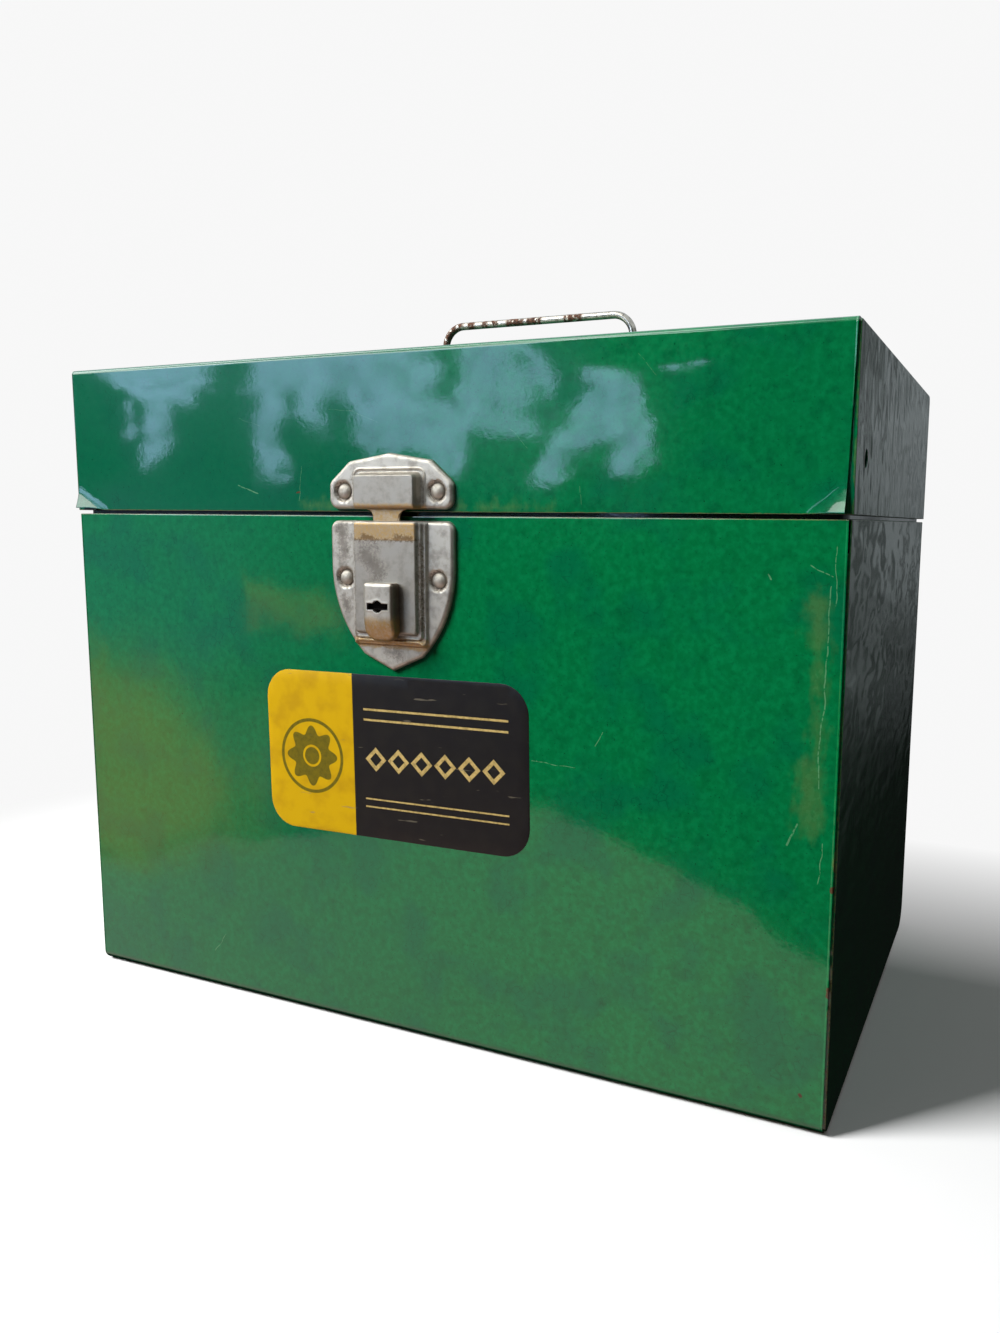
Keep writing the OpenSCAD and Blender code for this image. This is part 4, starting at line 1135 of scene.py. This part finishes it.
def makeSlide():
    slot, half, radius = slide["slotTall"] / 2, slide["slotHalf"], slide["keyRadius"]
    outline = roundedBox(latchX - slide["half"], slide["lowZ"], latchX + slide["half"], slide["topZ"],
                         (4.6, 4.6, 1.4, 1.4))

    def face(z):
        # flat above, curving back towards the bottom
        t = np.clip((160.0 - z) / 8.5, 0, 1)
        return slide["faceP"] - 2.4 * t * t

    def outer(x, z, away):
        u, v = np.abs(x - latchX), np.abs(z - slide["keyZ"])
        bar = np.hypot(np.maximum(u - half, 0), np.maximum(v - slot, 0))
        ring = np.maximum(np.hypot(u, v) - radius, 0)
        rim = 0.07 * np.exp(-((np.minimum(bar, ring) - 0.3) / 0.28) ** 2)
        return face(z) - 0.9 * roundedOff(away, 1.3) - 0.012 * (x - latchX) ** 2 + rim

    def under(x, z, away):
        s = np.clip((away - slide["wall"]) / 0.2, 0, 1)
        return slide["backP"] + (face(z) - 1.4 - slide["backP"]) * s

    columns = gridLines(latchX - slide["half"], latchX + slide["half"], 0.22, [])
    rows = gridLines(slide["lowZ"], slide["topZ"], 0.4, fineLines([slide["keyZ"]], 2.8, 0.18))
    mesh = pressedMesh(outline, outer, under, columns, rows, (0.12, 0.3, 0.55, 0.85, 1.2, 1.4), 0.4)
    # the key slot: a bar with a round middle
    x0 = math.sqrt(radius ** 2 - slot ** 2)
    lean = math.degrees(math.asin(slot / radius))
    hole = [(half, -slot), (half, slot), (x0, slot)] + arcs(0, 0, radius, lean, 180 - lean)[1:-1]
    hole += [(-x0, slot), (-half, slot), (-half, -slot), (-x0, -slot)]
    hole += arcs(0, 0, radius, 180 + lean, 360 - lean)[1:-1] + [(x0, -slot)]
    count = len(hole)
    points = [(latchX + x, box["frontY"] - p, slide["keyZ"] + z) for p in (8.0, 12.0) for x, z in hole]
    faces = [tuple(range(count)), tuple(range(2 * count - 1, count - 1, -1))]
    faces += [(i, (i + 1) % count, count + (i + 1) % count, count + i) for i in range(count)]
    mesh = carved(mesh, [shopOf(meshOf(points, faces), "tool")])
    settle("thumbSlide", mesh, "slide", "slide", ["thumb_slide"], 50)


def makeLabelPiece():
    turn, midX, midZ = math.radians(label["turn"]), label["x"], label["z"]
    wide, tall = label["halfWide"], label["halfTall"]
    outline = [(midX + x * math.cos(turn) - z * math.sin(turn), midZ + x * math.sin(turn) + z * math.cos(turn))
               for x, z in roundedBox(-wide, -tall, wide, tall, [label["radius"]] * 4)]
    columns = np.arange(midX - 60, midX + 60, 4.0)
    rows = np.arange(midZ - 34, midZ + 34, 4.0)
    mesh = pressedMesh(outline, lambda x, z, away: label["thick"] - 0.06 * np.clip(1 - away / 0.3, 0, 1),
                       lambda x, z, away: np.full_like(x, -0.02), columns, rows, (0.3,), 2.0)
    settle("labelSticker", mesh, "label", "body", ["label"])


makeShield()
makeHasp()
makeSlide()
makeLabelPiece()
print("latch and label made")


# rivets, handle and spring from Geometry Nodes
def newTree(name, lengths):
    tree = now["tree"] = bpy.data.node_groups.new(name, "GeometryNodeTree")
    for way in ("OUTPUT", "INPUT"):
        tree.interface.new_socket("Geometry", in_out=way, socket_type="NodeSocketGeometry")
    for title, value in lengths.items():
        tree.interface.new_socket(title, in_out="INPUT", socket_type="NodeSocketFloat").default_value = value
    tree.interface.new_socket("Finish", in_out="INPUT", socket_type="NodeSocketMaterial")
    return tree, put("NodeGroupInput").outputs


def endTree(given, geometry):
    real = made("GeometryNodeRealizeInstances", {0: geometry})
    put("NodeGroupOutput", {0: made("GeometryNodeSetMaterial", {"Geometry": real, "Material": given["Finish"]})})


def wireAlong(path, given, sides):
    ring = made("GeometryNodeCurvePrimitiveCircle", {"Resolution": sides, "Radius": given["Wire Radius"]})
    return made("GeometryNodeCurveToMesh", {"Curve": path, "Profile Curve": ring, "Fill Caps": True})


def moved(geometry, **sockets):
    return made("GeometryNodeTransform", {"Geometry": geometry, **sockets})


def grown(name, tree, points, edges, lengths, finish, body, stands, attributes=()):
    # runs a tree on a mesh of points in mm and keeps the plain mesh that comes out
    mesh = bpy.data.meshes.new(name)
    mesh.from_pydata([[c * mm for c in p] for p in points], edges, [])
    for title, kind, part, rows in attributes:
        for item, value in zip(mesh.attributes.new(title, kind, "POINT").data, rows):
            setattr(item, part, value)
    shop = shopOf(mesh)
    modifier = shop.modifiers.new("grow", "NODES")
    modifier.node_group = tree
    values = {title: value * mm for title, value in lengths.items()}
    values["Finish"] = finishes[finish]
    if "Turns" in lengths:
        values["Turns"] = lengths["Turns"]  # a count, not a length
    for item in tree.interface.items_tree:
        if item.in_out == "INPUT" and item.name in values:
            modifier[item.identifier] = values[item.name]
    result = takenFrom(shop)
    for attribute in list(result.attributes):
        if attribute.name in ("aim", "turn"):
            result.attributes.remove(attribute)
    return settle(name, result, finish, body, stands)


def makeRivetTree():
    tree, given = newTree("rivets", {
        "Head Radius": 0.0028, "Head Height": 0.0015, "Shank Radius": 0.0015, "Stack": 0.0015,
        "Tail Radius": 0.0021, "Tail Height": 0.0008})
    ball = made("GeometryNodeMeshUVSphere", {"Segments": 28, "Rings": 16, "Radius": 1.0})

    def dome(end, keep, drop):
        # a ball with one half pushed flat; keep is MAXIMUM for the upper half and MINIMUM for the lower
        radius, height = given[end + " Radius"], given[end + " Height"]
        sized = moved(ball, Scale=joined(radius, radius, height))
        x, y, z = put("ShaderNodeSeparateXYZ", {0: made("GeometryNodeInputPosition")}).outputs
        flat = made("GeometryNodeSetPosition", {"Geometry": sized, "Position": joined(x, y, calc(keep, z, 0.0))})
        return moved(flat, Translation=joined(0.0, 0.0, drop))

    low = times(given["Stack"], -1.0)
    head = dome("Head", "MAXIMUM", 0.0)
    tail = dome("Tail", "MINIMUM", low)
    shank = made("GeometryNodeMeshCylinder", {
        "Vertices": 20, "Radius": given["Shank Radius"], "Depth": given["Stack"]})
    shank = moved(shank, Translation=joined(0.0, 0.0, times(low, 0.5)))
    rivet = put("GeometryNodeJoinGeometry")
    for part in (tail, shank, head):
        feed(part, rivet.inputs[0])
    aim = made("GeometryNodeInputNamedAttribute", {"Name": "aim"}, data_type="FLOAT_VECTOR")
    turn = made("FunctionNodeAlignRotationToVector", {"Vector": aim}, axis="Z")
    endTree(given, made("GeometryNodeInstanceOnPoints", {
        "Points": given["Geometry"], "Instance": rivet.outputs[0], "Rotation": turn}))
    return tree


rivets = {
    "latchHead": (2.8, 1.5),
    "smallHead": (2.3, 1.0),
    "shank": 1.5,
    "tail": (2.1, 0.8),
    "latchSeat": 0.55,
    "bossSeat": 1.1,
    "leaf": 1.0,
    "clip": 0.9,
    "hingeX": 94.75,
    "hingeOut": 15.0,
    "hingeUp": 13.5,
    "axisZ": 196.7,
}


def makeRivets():
    tree = makeRivetTree()
    both = (-1, 1)

    def row(name, spots, aim, head, stack, finish, body, node):
        lengths = {"Head Radius": head[0], "Head Height": head[1], "Shank Radius": rivets["shank"], "Stack": stack,
                   "Tail Radius": rivets["tail"][0], "Tail Height": rivets["tail"][1]}
        grown(name, tree, spots, [], lengths, finish, body, [node],
              [("aim", "FLOAT_VECTOR", "vector", [aim] * len(spots))])

    sheet, seat, leaf, clip = box["sheet"], rivets["latchSeat"], rivets["leaf"], rivets["clip"]
    out, haspZ = latch["rivetOut"], hasp["rivetZ"]
    spots = [(latchX + s * out, box["frontY"] - seat, latch["rivetZ"]) for s in both]
    row("shieldRivets", spots, (0, -1, 0), rivets["latchHead"], seat + sheet, "rivet", "body", "latch_plate_rivets")
    spots = [(latchX + s * out, box["lidFrontY"] - seat, haspZ) for s in both]
    spots.append((latchX, box["lidFrontY"] - rivets["bossSeat"], haspZ))
    row("haspRivets", spots, (0, -1, 0), rivets["latchHead"], seat + sheet, "rivet", "lid", "hasp_rivets")
    for name, y, side, body, node in (("hingeBodyRivets", box["backY"], -1, "body", "hinge_body_rivets"),
                                      ("hingeLidRivets", box["lidBackY"], 1, "lid", "hinge_lid_rivets")):
        spots = [(h * rivets["hingeX"] + s * rivets["hingeOut"], y + leaf, rivets["axisZ"] + side * rivets["hingeUp"])
                 for h in both for s in both]
        row(name, spots, (0, 1, 0), rivets["smallHead"], leaf + sheet, "nickel", body, node)
    spots = [(handle["x"] + sx * handle["clipX"], handle["y"] + sy * handle["rivetY"], box["lidTop"] + clip)
             for sx in both for sy in both]
    row("clipRivets", spots, (0, 0, 1), rivets["smallHead"], clip + sheet, "nickel", "lid", "handle_clip_rivets")


handle = {
    "x": 2.0,
    "y": 6.3,
    "pivotZ": 255.9,
    "legX": 45.7,
    "barUp": 25.6,
    "wire": 3.2,
    "bend": 9.0,
    "footBend": 3.2,
    "foot": 12.0,
    "clipX": 54.3,
    "rivetY": 6.55,
}


def makeHandle():
    tree, given = newTree("wireBail", {"Wire Radius": 0.0016})
    line = made("GeometryNodeMeshToCurve", {0: given["Geometry"]})
    turn = made("GeometryNodeInputNamedAttribute", {"Name": "turn"}, data_type="FLOAT")
    fillet = made("GeometryNodeFilletCurve", {"Curve": line, "Count": 12, "Radius": turn}, mode="POLY")
    endTree(given, wireAlong(fillet, given, 24))
    leg = handle["legX"]
    half = [(leg + handle["footBend"] + handle["foot"], 0), (leg, 0), (leg, handle["barUp"])]
    turns = [0, handle["footBend"], handle["bend"], handle["bend"], handle["footBend"], 0]
    path = [(-x, z) for x, z in half] + half[::-1]
    points = [(handle["x"] + x, handle["y"], handle["pivotZ"] + z) for x, z in path]
    edges = [(i, i + 1) for i in range(len(points) - 1)]
    grown("handleWire", tree, points, edges, {"Wire Radius": handle["wire"] / 2}, "wire", "handle",
          ["handle_wire"], [("turn", "FLOAT", "value", [t * mm for t in turns])])
    for side in ("left", "right"):
        softened(f"handle_clip_{side}", 0.2, "nickel", "lid")


spring = {
    "x": -8.6,
    "depth": 2.0,
    "lowZ": 155.7,
    "highZ": 162.2,
    "radius": 0.9,
    "wire": 0.4,
    "turns": 7.5,
    "travel": 4.0,
}


def makeSpring():
    tree, given = newTree("coilSpring", {
        "Coil Radius": 0.0009, "Wire Radius": 0.0002, "Height": 0.006, "Turns": 7.5})
    coil = made("GeometryNodeCurveSpiral", {
        "Resolution": 20, "Rotations": given["Turns"], "Start Radius": given["Coil Radius"],
        "End Radius": given["Coil Radius"], "Height": given["Height"]})
    endTree(given, made("GeometryNodeInstanceOnPoints", {
        "Points": given["Geometry"], "Instance": wireAlong(coil, given, 10)}))
    tall = spring["highZ"] - spring["lowZ"]
    place = (spring["x"], box["frontY"] - spring["depth"], spring["lowZ"] + spring["wire"] / 2)
    lengths = {"Coil Radius": spring["radius"], "Wire Radius": spring["wire"] / 2, "Height": tall - spring["wire"],
               "Turns": spring["turns"]}
    coil = grown("returnSpring", tree, [place], [], lengths, "steel", "body", ["bolt_spring"])
    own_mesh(coil)


makeRivets()
makeHandle()
makeSpring()
print("rivets, handle and spring made")

# hinges and the lock's inner parts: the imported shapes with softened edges
for side in ("left", "right"):
    softened(f"hinge_{side}_body_leaf", 0.15, "nickel", "body")
    softened(f"hinge_{side}_lid_leaf", 0.15, "nickel", "lid")
    softened(f"hinge_{side}_pin", 0.12, "steel", "body")
for node, finish, body in (("latch_inner_plate", "steel", "body"), ("latch_bolt", "steel", "slide"),
                           ("slide_core", "steel", "slide"), ("key_cam", "key", "cam")):
    softened(node, 0.1, finish, body)
print("hinges and lock made")
